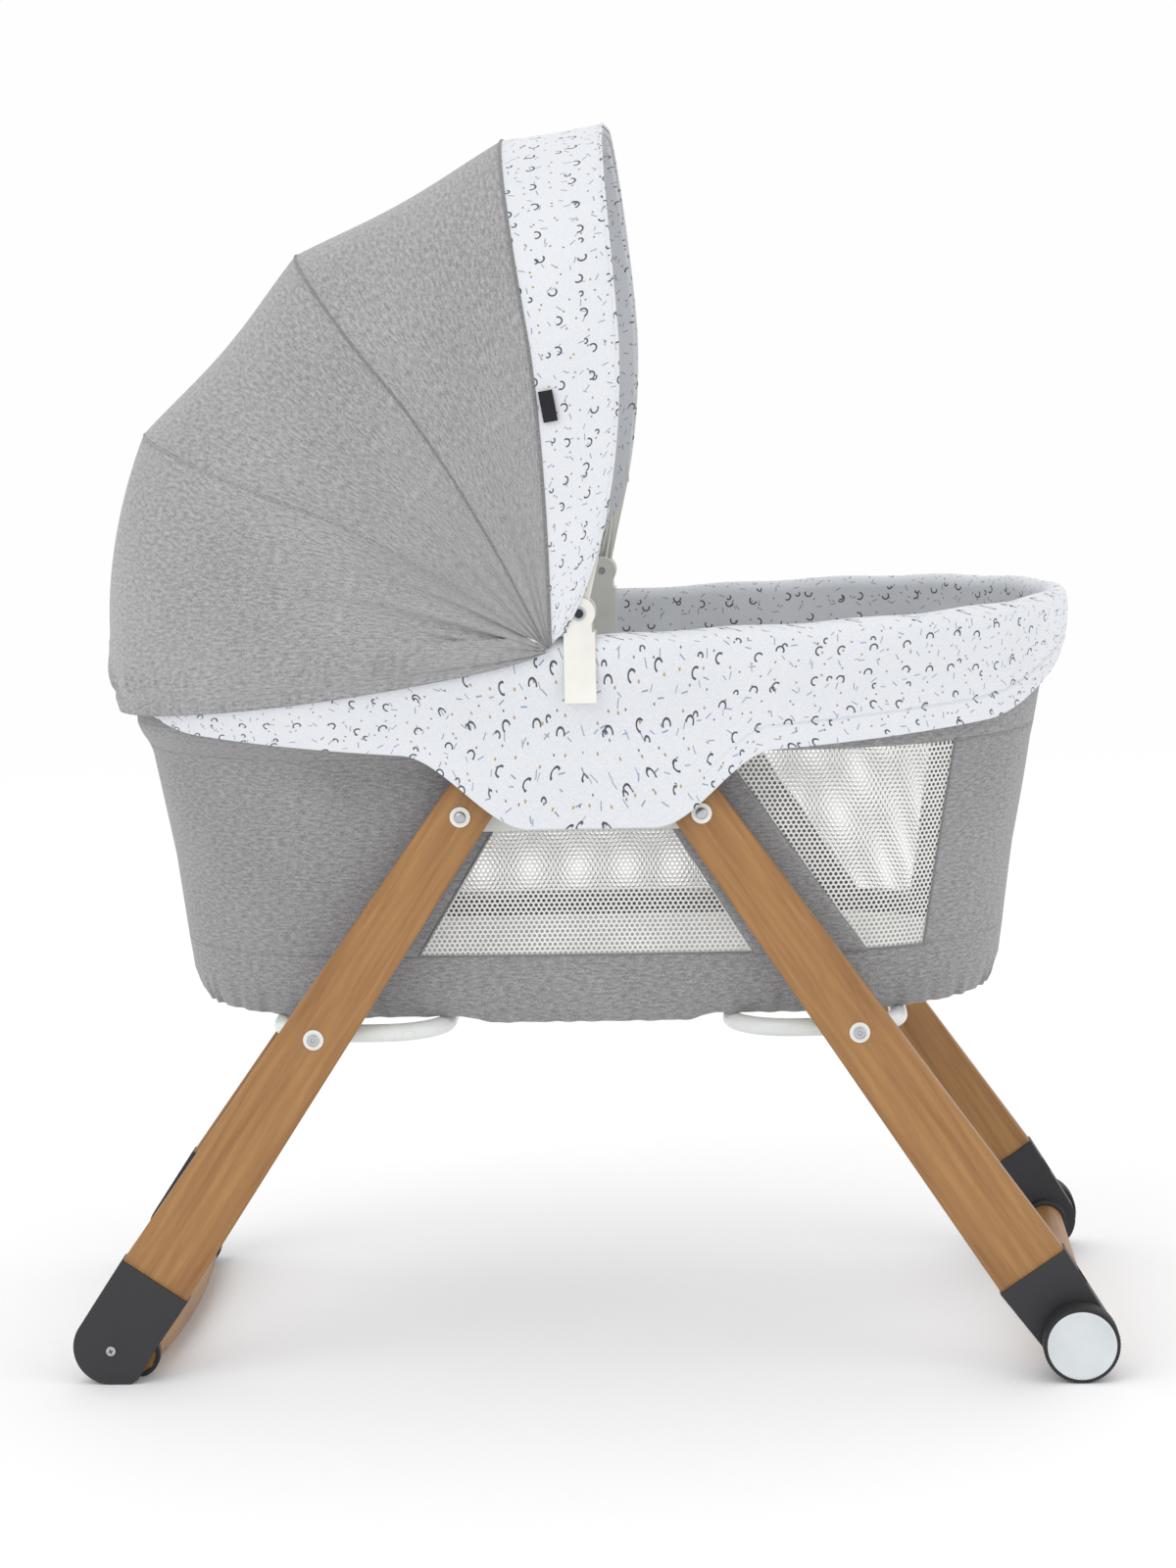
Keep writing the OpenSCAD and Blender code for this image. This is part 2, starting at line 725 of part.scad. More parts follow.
module rear_rib() { color(zinc) rib(rear_angle, hoop_y[3], rear_reach); }
module middle_rib() { color(zinc) rib(mid_angle, hoop_y[2], mid_reach); }
module front_rib() { color(zinc) rib(front_angle, hoop_y[1], front_reach); }

// The hood's arms lean forward to a knee, and the lead hoop stands on the two knees
knee = [arm_l * sin(arm_lean), arm_l * cos(arm_lean)];
lead_top = [lead_reach * sin(lead_angle), lead_reach * cos(lead_angle) - wire_in];
lead_back = atan((knee[0] - lead_top[0]) / (lead_top[1] - knee[1]));
lead_rise = norm(lead_top - knee);

module knee_frame() {
    rib_frame(0) translate([knee[0], 0, knee[1]]) rotate([0, -lead_back, 0]) children();
}

module lead_hoop() {
    color(zinc) knee_frame() hoop_wire(hoop_y[0], lead_rise, 0);
}

// Moulded arm: a plate from the pivot to the knee, and a socket for the lead hoop's wire
module hood_arm() {
    y = hoop_y[0];
    plate = [y - wire_d / 2 - 0.5, y + wire_d / 2 + 0.5];
    half_w = 5;
    difference() {
        union() {
            rib_frame(0) bar_y(0, 0, 11.5, y - wire_d / 2, y + wire_d / 2);
            rib_frame(arm_lean) along_y(y - wire_d / 2, y + wire_d / 2) polygon([
                [-half_w - 1, 6], [-half_w, arm_l], [half_w, arm_l], [half_w + 1.5, 6]
            ]);
            knee_frame() along_y(plate[0], plate[1])
                translate([-half_w, -6]) square([2 * half_w, socket_l + 6]);
        }
        knee_frame() translate([0, y, 0]) cylinder(h = socket_l + 1, d = wire_d);
        bar_y(hub_x, hub_z, pivot_d / 2 + pivot_clear, y - wire_d, y + wire_d);
    }
}

module hood_arm_near() { color(ivory) at_side(-1) hood_arm(); }
module hood_arm_far() { color(ivory) hood_arm(); }

// Arch outline: upright sides, round corners of radius bend, level top
function arch(half_w, reach, bend, steps = 10) = concat(
    [[-half_w, 0]],
    [for (i = [0:steps]) let (a = 180 - i * 90 / steps)
        [-half_w + bend + bend * cos(a), reach - bend + bend * sin(a)]],
    [for (i = [0:steps]) let (a = 90 - i * 90 / steps)
        [half_w - bend + bend * cos(a), reach - bend + bend * sin(a)]],
    [[half_w, 0]]
);

// The arch as a thin slab in the plane of a rib; s = [angle, half width, reach, bend]
module arch_slab(s, grow, turn) {
    rib_frame(s[0] + turn) rotate([90, 0, 90])
        linear_extrude(0.02, center = true) polygon(arch(s[1] + grow, s[2] + grow, s[3] + grow));
}

// Cloth stretched over a row of arches, open at its two end arches and at the pivots
module hood_panel(sections) {
    n = len(sections) - 1;
    clear_r = 25;
    difference() {
        hull() for (i = [0:n])
            arch_slab(sections[i], hood_t, i == 0 ? -seam_gap : i == n ? seam_gap : 0);
        hull() for (i = [0:n])
            arch_slab(sections[i], 0, i == 0 ? open_turn : i == n ? -open_turn : 0);
        bar_y(hub_x, hub_z, clear_r, -rim_r - 60, rim_r + 60);
    }
}

wire_out = wire_d / 2 + hood_clear;
function arch_of(angle, i, reach) =
    [angle, hoop_y[i] + wire_out, reach - hood_t, hoop_bend + wire_out];
lead_arch = arch_of(lead_angle, 0, lead_reach);
front_arch = arch_of(front_angle, 1, front_reach);
mid_arch = arch_of(mid_angle, 2, mid_reach);
rear_arch = arch_of(rear_angle, 3, rear_reach);
// Round the rim the hood stands just off the printed cover
brim_hw = cover_r + 1.4;
brim_reach = rim_straight + brim_hw + hub_x + 0.6;
rim_drop_angle = atan((hub_rise + rim_straight * tan(rim_tilt) * 2.4) / brim_reach);
brim_arch = [-91, brim_hw, brim_reach, brim_hw];
rim_arch = [-90 - rim_drop_angle, brim_hw, brim_reach / cos(rim_drop_angle), brim_hw];
hem_arch = [hem_angle, brim_hw, brim_reach + 2, brim_hw];

module hood_rear_panel() { color(heather) hood_panel([rear_arch, brim_arch, rim_arch, hem_arch]); }
module hood_middle_panel() { color(heather) hood_panel([mid_arch, rear_arch]); }
module hood_front_panel() { color(heather) hood_panel([front_arch, mid_arch]); }
module hood_band() { color(print_white) hood_panel([lead_arch, front_arch]); }

// Small blank ribbon label at the front seam, near side, just off the band's cloth
module side_tag() {
    tag = [13, 0.8, 27];
    tag_r = 165;
    chord = 2 * tag_r * sin((lead_angle - front_angle) / 2);
    spread = (lead_arch[1] - front_arch[1]) * (1 + tag[0]) / chord;
    off = 1;       // the cloth swells a little between the two ribs
    color(charcoal) rib_frame(front_angle)
        translate([1, -front_arch[1] - hood_t - spread - off - tag[1], tag_r]) cube(tag);
}

leg_head_near();
leg_head_far();
leg_foot_near();
leg_foot_far();
foot_shoe_near();
foot_shoe_far();
wheel_housing_near();
wheel_housing_far();
head_stretcher();
foot_stretcher();
side_bracket_near();
side_bracket_far();
rim_tube();
base_loop_head();
base_loop_foot();
upper_bolts();
lower_bolts();
leg_washers();
leg_nuts();
shoe_screws();
axle_near();
axle_far();
wheel_core_near();
wheel_core_far();
tyre_near();
tyre_far();
wheel_cap_near();
wheel_cap_far();
base_board();
mattress();
basket_fabric();
mesh_windows_near();
mesh_windows_far();
printed_cover();
hood_clip_near();
hood_clip_far();
pivot_screws();
rear_rib();
middle_rib();
front_rib();
lead_hoop();
hood_arm_near();
hood_arm_far();
hood_rear_panel();
hood_middle_panel();
hood_front_panel();
hood_band();
side_tag();
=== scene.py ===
import json
from math import atan2, cos, pi, radians, sin, tan

import bmesh
import bpy
import numpy as np
from mathutils import Matrix, Vector


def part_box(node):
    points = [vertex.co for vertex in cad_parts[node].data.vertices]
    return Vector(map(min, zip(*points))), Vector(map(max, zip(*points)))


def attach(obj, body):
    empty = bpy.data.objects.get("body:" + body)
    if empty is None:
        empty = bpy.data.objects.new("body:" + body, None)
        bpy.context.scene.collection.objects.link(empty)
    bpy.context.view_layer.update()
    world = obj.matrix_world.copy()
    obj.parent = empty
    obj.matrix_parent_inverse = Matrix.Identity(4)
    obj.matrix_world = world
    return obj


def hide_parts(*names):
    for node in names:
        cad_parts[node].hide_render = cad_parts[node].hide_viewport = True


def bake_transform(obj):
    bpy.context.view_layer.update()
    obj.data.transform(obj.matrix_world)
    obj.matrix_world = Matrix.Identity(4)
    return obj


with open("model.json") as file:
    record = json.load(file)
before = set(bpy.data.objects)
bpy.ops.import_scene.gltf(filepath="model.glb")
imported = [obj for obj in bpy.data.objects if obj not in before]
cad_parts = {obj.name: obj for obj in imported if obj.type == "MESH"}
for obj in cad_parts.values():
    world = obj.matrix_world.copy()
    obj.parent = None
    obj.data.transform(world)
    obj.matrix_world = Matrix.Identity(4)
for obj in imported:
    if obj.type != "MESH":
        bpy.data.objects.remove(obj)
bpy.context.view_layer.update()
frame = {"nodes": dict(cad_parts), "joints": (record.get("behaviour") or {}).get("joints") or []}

# ---------------------------------------------------------------- camera, floor and light
# A long lens a little above the rim looks at the bassinet's near side.
# The floor and the sky are plain and pale, with two broad soft lamps and a low fill.

def placed(name, data):
    """An object that shows this data, in the scene."""
    made = bpy.data.objects.new(name, data)
    bpy.context.scene.collection.objects.link(made)
    return made


camera = placed("camera", bpy.data.cameras.new("camera"))
camera.data.lens = 90
camera.matrix_world = Matrix((
    (0.99881, 0.01697, 0.04589, 0.1645),
    (0.04335, 0.12758, -0.99089, -3.629),
    (-0.02267, 0.99169, 0.12669, 0.970),
    (0, 0, 0, 1),
))
bpy.context.scene.camera = camera
bpy.context.scene.view_settings.view_transform = "Standard"


def add(tree, kind, inputs=None, **settings):
    """A shader node. An input given as a socket is linked, and any other value is set on it."""
    made = tree.nodes.new("ShaderNode" + kind)
    for key, value in settings.items():
        setattr(made, key, value)
    for key, value in (inputs or {}).items():
        if isinstance(value, bpy.types.NodeSocket):
            tree.links.new(value, made.inputs[key])
        else:
            made.inputs[key].default_value = value
    return made


def calc(tree, operation, *values):
    """One step of arithmetic on sockets or numbers, and its result."""
    return add(tree, "Math", dict(enumerate(values)), operation=operation).outputs[0]


def vector(tree, operation, *values):
    """One step of vector arithmetic on sockets or constants, and its result."""
    return add(tree, "VectorMath", dict(enumerate(values)), operation=operation).outputs[0]


def scaled(tree, at, factor):
    """A vector or a colour times a number."""
    return add(tree, "VectorMath", {0: at, "Scale": factor}, operation="SCALE").outputs[0]


def noise(tree, at, scale, detail, **more):
    """Noise at a place, between 0 and 1, its scale per metre."""
    return add(tree, "TexNoise", {"Vector": at, "Scale": scale, "Detail": detail, **more}).outputs[0]


def remap(tree, value, *spans):
    """A value carried from one span to another, which is 0 to 1 unless it is given."""
    return add(tree, "MapRange", dict(enumerate((value, *spans)))).outputs[0]


def tint(tree, share, dark, light):
    """A colour that is a share of the way from dark to light."""
    return add(tree, "Mix", {0: share, 6: dark, 7: light}, data_type="RGBA").outputs[2]


def stretched(tree, at, *scale):
    """A place with each of its coordinates scaled."""
    return add(tree, "Mapping", {"Vector": at, "Scale": scale}).outputs[0]


def emboss(tree, shader, height, strength, distance):
    """Links a bump from a height to a shader's normal."""
    bump = add(tree, "Bump", {"Height": height, "Strength": strength, "Distance": distance})
    tree.links.new(bump.outputs[0], shader.inputs["Normal"])


def srgb(red, green, blue):
    """A colour given in 0 to 255 as seen on a screen, as the linear values that a shader takes."""
    seen = np.array([red, green, blue]) / 255
    linear = np.where(seen <= 0.04045, seen / 12.92, ((seen + 0.055) / 1.055) ** 2.4)
    return (*(float(c) for c in linear), 1.0)


world = bpy.data.worlds.new("studio")
bpy.context.scene.world = world
world.use_nodes = True
world.node_tree.nodes["Background"].inputs["Color"].default_value = srgb(254, 254, 254)
world.node_tree.nodes["Background"].inputs["Strength"].default_value = 1.0

for lamp_name, place, size, power in (
    ("key_lamp", (-1.6, -2.6, 3.0), 2.6, 19),
    ("side_lamp", (2.8, -1.6, 2.0), 2.2, 7),
    ("back_lamp", (0.5, 2.8, 2.6), 2.4, 9),
):
    lamp = placed(lamp_name, bpy.data.lights.new(lamp_name, "AREA"))
    lamp.data.shape = "DISK"
    lamp.data.size = size
    lamp.data.energy = power
    lamp.location = place
    aim = Vector((0, 0, 0.5)) - Vector(place)
    lamp.rotation_euler = aim.to_track_quat("-Z", "Y").to_euler()

floor_mesh = bpy.data.meshes.new("floor")
FLOOR = 30.0
floor_mesh.from_pydata([(x * FLOOR, y * FLOOR, 0) for x, y in ((-1, -1), (1, -1), (1, 1), (-1, 1))],
                       [], [(0, 1, 2, 3)])
floor = placed("floor", floor_mesh)
floor_paint = bpy.data.materials.new("floor_paint")
floor_paint.use_nodes = True
floor_tree = floor_paint.node_tree
floor_shader = floor_tree.nodes["Principled BSDF"]
floor_shader.inputs["Base Color"].default_value = srgb(253, 253, 254)
floor_shader.inputs["Roughness"].default_value = 0.9
# the floor fades into the sky with distance, so that no horizon shows
FADE_FROM, FADE_TO = 1.5, 7.0
floor_at = add(floor_tree, "TexCoord").outputs["Object"]
floor_reach = add(floor_tree, "VectorMath", {0: floor_at}, operation="LENGTH").outputs["Value"]
floor_fade = remap(floor_tree, floor_reach, FADE_FROM, FADE_TO)
floor_mix = add(floor_tree, "MixShader", {0: floor_fade, 1: floor_shader.outputs[0],
                                          2: add(floor_tree, "BsdfTransparent").outputs[0]})
floor_tree.links.new(floor_mix.outputs[0], floor_tree.nodes["Material Output"].inputs["Surface"])
floor_mesh.materials.append(floor_paint)

# ---------------------------------------------------------------- beech legs
# Four planed beech legs with rounded edges, 20 mm thick and wider towards the foot.
# Each is bolted to the rim's bracket at its top and to a base loop lower down.

bolt_low, bolt_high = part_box("upper_bolts")
cap_low, cap_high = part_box("wheel_cap_near")
BOLT_HEAD_R = 0.00525
LEG_TOP_W, LEG_FOOT_W, LEG_OVER, LEG_ROUND = 0.046, 0.068, 0.034, 0.003
SHOE_H, LEG_TUCK = 0.073, 0.004
bolt_x, bolt_z = bolt_high.x - BOLT_HEAD_R, (bolt_low.z + bolt_high.z) / 2
foot_x, foot_z = (cap_low.x + cap_high.x) / 2, (cap_low.z + cap_high.z) / 2
leg_angle = atan2(foot_x - bolt_x, bolt_z - foot_z)
leg_length = Vector((foot_x - bolt_x, bolt_z - foot_z)).length
leg_in_y, leg_out_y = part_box("leg_head_far")[0].y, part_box("leg_head_far")[1].y


def reshape(mesh, work):
    """Runs some work on a mesh in its editable form, and writes it back."""
    shape = bmesh.new()
    shape.from_mesh(mesh)
    work(shape)
    shape.to_mesh(mesh)
    shape.free()


def surface(name, grid, wrap=False, ends=False, smooth_angle=50):
    """A mesh over a grid of points, rows by columns. Quads join neighbours, wrap joins the last column to
    the first, and ends closes the first and last rows. Its UV is the length along the rows, measured from
    their middle, and the mean length down the columns, both in metres. Faces are turned outwards."""
    grid = np.asarray(grid, float)
    rows, columns = grid.shape[:2]
    row = np.arange(rows - 1)[:, None]
    column = np.arange(columns if wrap else columns - 1)[None, :]
    after = (column + 1) % columns
    quads = np.stack([row * columns + column, row * columns + after,
                      (row + 1) * columns + after, (row + 1) * columns + column], -1).reshape(-1, 4)
    wide = np.concatenate([grid, grid[:, :1]], 1) if wrap else grid
    along = np.zeros(wide.shape[:2])
    along[:, 1:] = np.cumsum(np.linalg.norm(np.diff(wide, axis=1), axis=2), 1)
    along -= along[:, -1:] / 2
    down = np.concatenate([[0], np.cumsum(np.linalg.norm(np.diff(grid, axis=0), axis=2).mean(1))])
    down = np.repeat(down[:, None], wide.shape[1], 1)
    corner = [(row, column), (row, column + 1), (row + 1, column + 1), (row + 1, column)]
    uv = np.stack([np.stack([along[r, c], down[r, c]], -1) for r, c in corner], 2).reshape(-1, 4, 2)
    points = grid.reshape(-1, 3)
    middle = points.mean(0)
    across = np.cross(points[quads[:, 2]] - points[quads[:, 0]], points[quads[:, 3]] - points[quads[:, 1]])
    if (across * (points[quads].mean(1) - middle)).sum() < 0:
        quads, uv = quads[:, ::-1], uv[:, ::-1]
    faces = quads.tolist()
    if ends:
        faces += [list(range(columns)), list(range((rows - 1) * columns, rows * columns))]
        uv = np.concatenate([uv.reshape(-1, 2), np.zeros((2 * columns, 2))])
    mesh = bpy.data.meshes.new(name)
    mesh.from_pydata(points.tolist(), [], faces)
    mesh.uv_layers.new(name="cloth").data.foreach_set("uv", uv.reshape(-1).astype(np.float32))
    if ends:
        reshape(mesh, lambda shape: bmesh.ops.recalc_face_normals(shape, faces=shape.faces))
    mesh.shade_smooth()
    mesh.set_sharp_from_angle(angle=radians(smooth_angle))
    return placed(name, mesh)


def settle(piece, body, material, slot, *nodes):
    """Gives a finished piece its material, its body and the CAD nodes that it stands for. Without a
    material it keeps the ones it has."""
    if material:
        piece.data.materials.clear()
        piece.data.materials.append(material)
    if nodes:
        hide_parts(*nodes)
    if body:
        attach(piece, body)
    return piece


def new_material(name, roughness, **plain):
    """A material with its node tree and its Principled shader; plain values go straight to its sockets."""
    made = bpy.data.materials.new(name)
    made.use_nodes = True
    shader = made.node_tree.nodes["Principled BSDF"]
    shader.inputs["Roughness"].default_value = roughness
    for key, value in plain.items():
        shader.inputs[key.replace("_", " ")].default_value = value
    return made, made.node_tree, shader


def new_group(name, inputs, outputs):
    """An empty shader node group with named inputs and outputs, as (type, name) or (type, name, value)."""
    group = bpy.data.node_groups.new(name, "ShaderNodeTree")
    for kind, label, *value in inputs:
        made = group.interface.new_socket(name=label, in_out="INPUT", socket_type="NodeSocket" + kind)
        if value:
            made.default_value = value[0]
    for kind, label in outputs:
        group.interface.new_socket(name=label, in_out="OUTPUT", socket_type="NodeSocket" + kind)
    return group, group.nodes.new("NodeGroupInput").outputs, group.nodes.new("NodeGroupOutput").inputs


def place_group(tree, group, inputs):
    """A group placed in a material's tree, with its inputs set or linked."""
    return add(tree, "Group", inputs, node_tree=group)


# Grain: long bands along the second coordinate, fine pores, and a slow change of tone
grain, g_in, g_out = new_group(
    "beech_grain",
    [("Vector", "Vector"), ("Color", "Light"), ("Color", "Dark")],
    [("Color", "Color"), ("Float", "Roughness"), ("Float", "Height")],
)
bands_at = stretched(grain, g_in["Vector"], 1, 0.06, 1)
bands = noise(grain, bands_at, 170, 6, Distortion=0.6)
pores = noise(grain, stretched(grain, g_in["Vector"], 1, 0.12, 1), 900, 2)
tone = noise(grain, bands_at, 22, 2)
mixed = calc(grain, "ADD", calc(grain, "MULTIPLY", bands, 0.55), calc(grain, "MULTIPLY", tone, 0.5))
wood_colour = tint(grain, remap(grain, mixed, 0.38, 0.68), g_in["Dark"], g_in["Light"])
pore_mask = remap(grain, pores, 0.62, 0.72)
darker = tint(grain, calc(grain, "MULTIPLY", pore_mask, 0.35), wood_colour, g_in["Dark"])
grain.links.new(darker, g_out["Color"])
grain.links.new(calc(grain, "ADD", 0.42, calc(grain, "MULTIPLY", pores, 0.16)), g_out["Roughness"])
grain.links.new(calc(grain, "SUBTRACT", bands, pore_mask), g_out["Height"])


def beech(name, turn):
    """Oiled beech. On legs the grain runs down the UV map, and on round bars along Y."""
    made, tree, shader = new_material(name, 0.5, Coat_Weight=0.12, Coat_Roughness=0.35)
    coords = add(tree, "TexCoord")
    placed = coords.outputs["UV"] if turn is None else add(
        tree, "Mapping", {"Vector": coords.outputs["Object"], "Rotation": turn}).outputs[0]
    wood = place_group(tree, grain, {"Vector": placed, "Light": srgb(170, 125, 73), "Dark": srgb(134, 91, 46)})
    tree.links.new(wood.outputs["Color"], shader.inputs["Base Color"])
    tree.links.new(wood.outputs["Roughness"], shader.inputs["Roughness"])
    emboss(tree, shader, wood.outputs["Height"], 0.12, 0.0004)
    return made


leg_wood = beech("leg_beech", None)
bar_wood = beech("bar_beech", (0, 0, 0))


def rounded_section(half_w, half_t, radius, steps=5):
    """Outline of a bar: a rectangle whose four corners are quarter circles, as (across, thickness)."""
    turns = np.linspace(0, pi / 2, steps)
    outline = []
    for quarter, (sx, sy) in enumerate(((1, 1), (-1, 1), (-1, -1), (1, -1))):
        a = turns + quarter * pi / 2
        outline.append(np.stack([sx * (half_w - radius) + radius * np.cos(a),
                                 sy * (half_t - radius) + radius * np.sin(a)], -1))
    return np.concatenate(outline)


def leg(name, end, side):
    """A leg: the rounded section carried down its middle line, wider with distance, its top end rounded
    off over the first 15 mm by drawing the section in as the edge of a circle does."""
    top, bottom = -LEG_OVER, leg_length - SHOE_H + LEG_TUCK
    near_top = top + 0.015 * (1 - np.cos(np.linspace(0, pi / 2, 9)))
    stations = np.concatenate([near_top, np.linspace(top + 0.02, bottom, 24)])
    rings = []
    for s in stations:
        half_w = (LEG_TOP_W + (LEG_FOOT_W - LEG_TOP_W) * (s - top) / (bottom - top)) / 2
        in_end = min(1, (s - top) / 0.015)
        half_w -= 0.008 * (1 - (1 - (1 - in_end) ** 2) ** 0.5)
        edge = min(1, (s - top) / LEG_ROUND)
        half_t = (leg_out_y - leg_in_y) / 2 - LEG_ROUND * (1 - (1 - (1 - edge) ** 2) ** 0.5)
        ring = rounded_section(half_w, half_t, LEG_ROUND * 0.98)
        x = end * (bolt_x + s * sin(leg_angle) + ring[:, 0] * cos(leg_angle))
        z = bolt_z - s * cos(leg_angle) + ring[:, 0] * sin(leg_angle)
        y = side * ((leg_in_y + leg_out_y) / 2 + ring[:, 1])
        rings.append(np.stack([x, y, z], -1))
    return surface(name, rings, wrap=True, ends=True)


for end_name, end in (("head", -1), ("foot", 1)):
    for side_name, side in (("near", -1), ("far", 1)):
        node = f"leg_{end_name}_{side_name}"
        settle(leg("beech_" + node, end, side), "stand", leg_wood, "beech", node)
for node in ("head_stretcher", "foot_stretcher"):
    settle(frame["nodes"][node], None, bar_wood, "beech")

# ---------------------------------------------------------------- plastic feet and wheel housings
# Charcoal nylon mouldings with softened edges and a fine eroded texture. They hold the legs' tenons,
# the stretcher at the head end, and the axle and dowel at the foot end.

wear, w_in, w_out = new_group(
    "moulded_wear",
    [("Vector", "Vector"), ("Color", "Base"), ("Float", "Roughness", 0.5), ("Float", "Grain", 2500.0)],
    [("Color", "Color"), ("Float", "Roughness"), ("Float", "Height")],
)
texture = noise(wear, w_in["Vector"], w_in["Grain"], 3)
smudge = noise(wear, w_in["Vector"], 18, 4)
wear.links.new(scaled(wear, w_in["Base"], remap(wear, smudge, 0.3, 0.7, 0.9, 1.08)), w_out["Color"])
rough = calc(wear, "MULTIPLY", calc(wear, "SUBTRACT", smudge, 0.5), 0.2)
wear.links.new(calc(wear, "ADD", w_in["Roughness"], rough), w_out["Roughness"])
wear.links.new(texture, w_out["Height"])


def moulded(name, colour, roughness, bump_m=0.00006, grain_scale=2500.0, **plain):
    """A solid finish with worn tone and a fine surface texture, on Object coordinates."""
    made, tree, shader = new_material(name, roughness, **plain)
    coords = add(tree, "TexCoord").outputs["Object"]
    finish = place_group(tree, wear, {"Vector": coords, "Base": colour, "Roughness": roughness,
                                      "Grain": grain_scale})
    tree.links.new(finish.outputs["Color"], shader.inputs["Base Color"])
    tree.links.new(finish.outputs["Roughness"], shader.inputs["Roughness"])
    emboss(tree, shader, finish.outputs["Height"], 0.5, bump_m)
    return made


charcoal = moulded("charcoal_nylon", srgb(44, 44, 48), 0.55)


def softened(node, body, material, slot, radius=0.0012):
    """A copy of a CAD node's shape, its triangles joined into whole faces, with its sharp edges rounded."""
    def whole_faces(shape):
        bmesh.ops.remove_doubles(shape, verts=shape.verts, dist=0.00002)
        bmesh.ops.dissolve_limit(shape, angle_limit=radians(1.5), verts=shape.verts, edges=shape.edges)

    mesh = frame["nodes"][node].data.copy()
    reshape(mesh, whole_faces)
    if mesh.has_custom_normals:
        mesh.normals_split_custom_set([(0, 0, 0)] * len(mesh.loops))
    mesh.shade_smooth()
    mesh.set_sharp_from_angle(angle=radians(35))
    piece = placed("soft_edged_" + node, mesh)
    bevel = piece.modifiers.new("rounded_edges", "BEVEL")
    bevel.width = radius
    bevel.segments = 3
    bevel.limit_method = "ANGLE"
    bevel.angle_limit = radians(35)
    bevel.harden_normals = True
    return settle(piece, body, material, slot, node)


for side_name in ("near", "far"):
    softened("foot_shoe_" + side_name, "stand", charcoal, "charcoal_plastic", 0.0018)
    softened("wheel_housing_" + side_name, "stand", charcoal, "charcoal_plastic", 0.0018)

# ---------------------------------------------------------------- wheels
# Each wheel is a nylon core on a steel axle, with a ribbed rubber tyre pressed on and a pale cap disc
# snapped over its face.

rubber = moulded("tyre_rubber", srgb(38, 38, 40), 0.75, 0.0001, 900.0)
cap_white = moulded("cap_gloss", srgb(212, 217, 220), 0.3, 0.00002, 600.0, Coat_Weight=0.2)
zinc = moulded("zinc_plate", srgb(188, 190, 193), 0.32, 0.00001, 1800.0, Metallic=1.0)


def turned(name, profile, centre, side, steps=64, ribs=0, rib_depth=0.0):
    """A shape turned about a line along Y: profile holds (radius, distance out along Y) from its inner end
    to its outer end, and ribs cuts that many shallow waves into its radius where it is widest."""
    profile = np.asarray(profile, float)
    angle = np.linspace(0, 2 * pi, steps, endpoint=False)
    widest = profile[:, 0].max()
    on_tread = (profile[:, :1] > widest - 0.0004).astype(float)
    radius = profile[:, :1] - on_tread * rib_depth * (0.5 + 0.5 * np.cos(ribs * angle[None, :]))
    x = centre[0] + radius * np.cos(angle)
    z = centre[1] + radius * np.sin(angle)
    y = np.broadcast_to(side * profile[:, 1:], x.shape)
    return surface(name, np.stack([x, y, z], -1), wrap=True, ends=True, smooth_angle=40)


for side_name, side in (("near", -1), ("far", 1)):
    body = "wheel_" + side_name
    tyre_low, tyre_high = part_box("tyre_" + side_name)
    tyre_r = (tyre_high.z - tyre_low.z) / 2
    inner, outer = sorted((abs(tyre_low.y), abs(tyre_high.y)))
    centre = (foot_x, foot_z)
    tyre_t = 0.003
    tread = [(tyre_r - tyre_t, inner), (tyre_r - 0.001, inner), (tyre_r, inner + 0.0012),
             (tyre_r, outer - 0.0012), (tyre_r - 0.001, outer), (tyre_r - tyre_t, outer)]
    tyre = turned("ribbed_tyre_" + side_name, tread, centre, side, 288, 72, 0.0005)
    settle(tyre, body, rubber, "tyre", "tyre_" + side_name)
    cap_out = max(abs(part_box("wheel_cap_" + side_name)[0].y), abs(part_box("wheel_cap_" + side_name)[1].y))
    cap_r = tyre_r - tyre_t - 0.0005
    dish = [(cap_r, cap_out - 0.0018), (cap_r, cap_out - 0.0006), (cap_r - 0.0008, cap_out),
            (cap_r - 0.002, cap_out + 0.0001), (cap_r - 0.003, cap_out - 0.0003),
            (cap_r * 0.5, cap_out - 0.0001), (0.0002, cap_out)]
    settle(turned("wheel_disc_" + side_name, dish, centre, side, 96), body, cap_white, "wheel_cap",
           "wheel_cap_" + side_name)
    settle(frame["nodes"]["wheel_core_" + side_name], None, charcoal, "charcoal_plastic")
    settle(frame["nodes"]["axle_" + side_name], None, zinc, "zinc")

# ---------------------------------------------------------------- bolts, washers and screws
# Zinc-plated bolts: domed upper heads, lower heads with a hexagon socket, on white nylon washers.
# A cross-head screw holds each foot at the head end.

nylon_white = moulded("nylon_white", srgb(232, 232, 228), 0.42, 0.00002)
dark_recess = moulded("recess_shadow", srgb(60, 61, 64), 0.5, 0.00002, Metallic=0.8)
HEAD_H = 0.0036
lower_low, lower_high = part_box("lower_bolts")
lower_x, lower_z = lower_high.x - BOLT_HEAD_R, (lower_low.z + lower_high.z) / 2
head_seat = bolt_high.y - HEAD_H


def join(name, pieces):
    """One piece from several meshes, with their material slots kept."""
    bpy.ops.object.select_all(action="DESELECT")
    for piece in pieces:
        piece.select_set(True)
    bpy.context.view_layer.objects.active = pieces[0]
    bpy.ops.object.join()
    pieces[0].name = name
    return pieces[0]


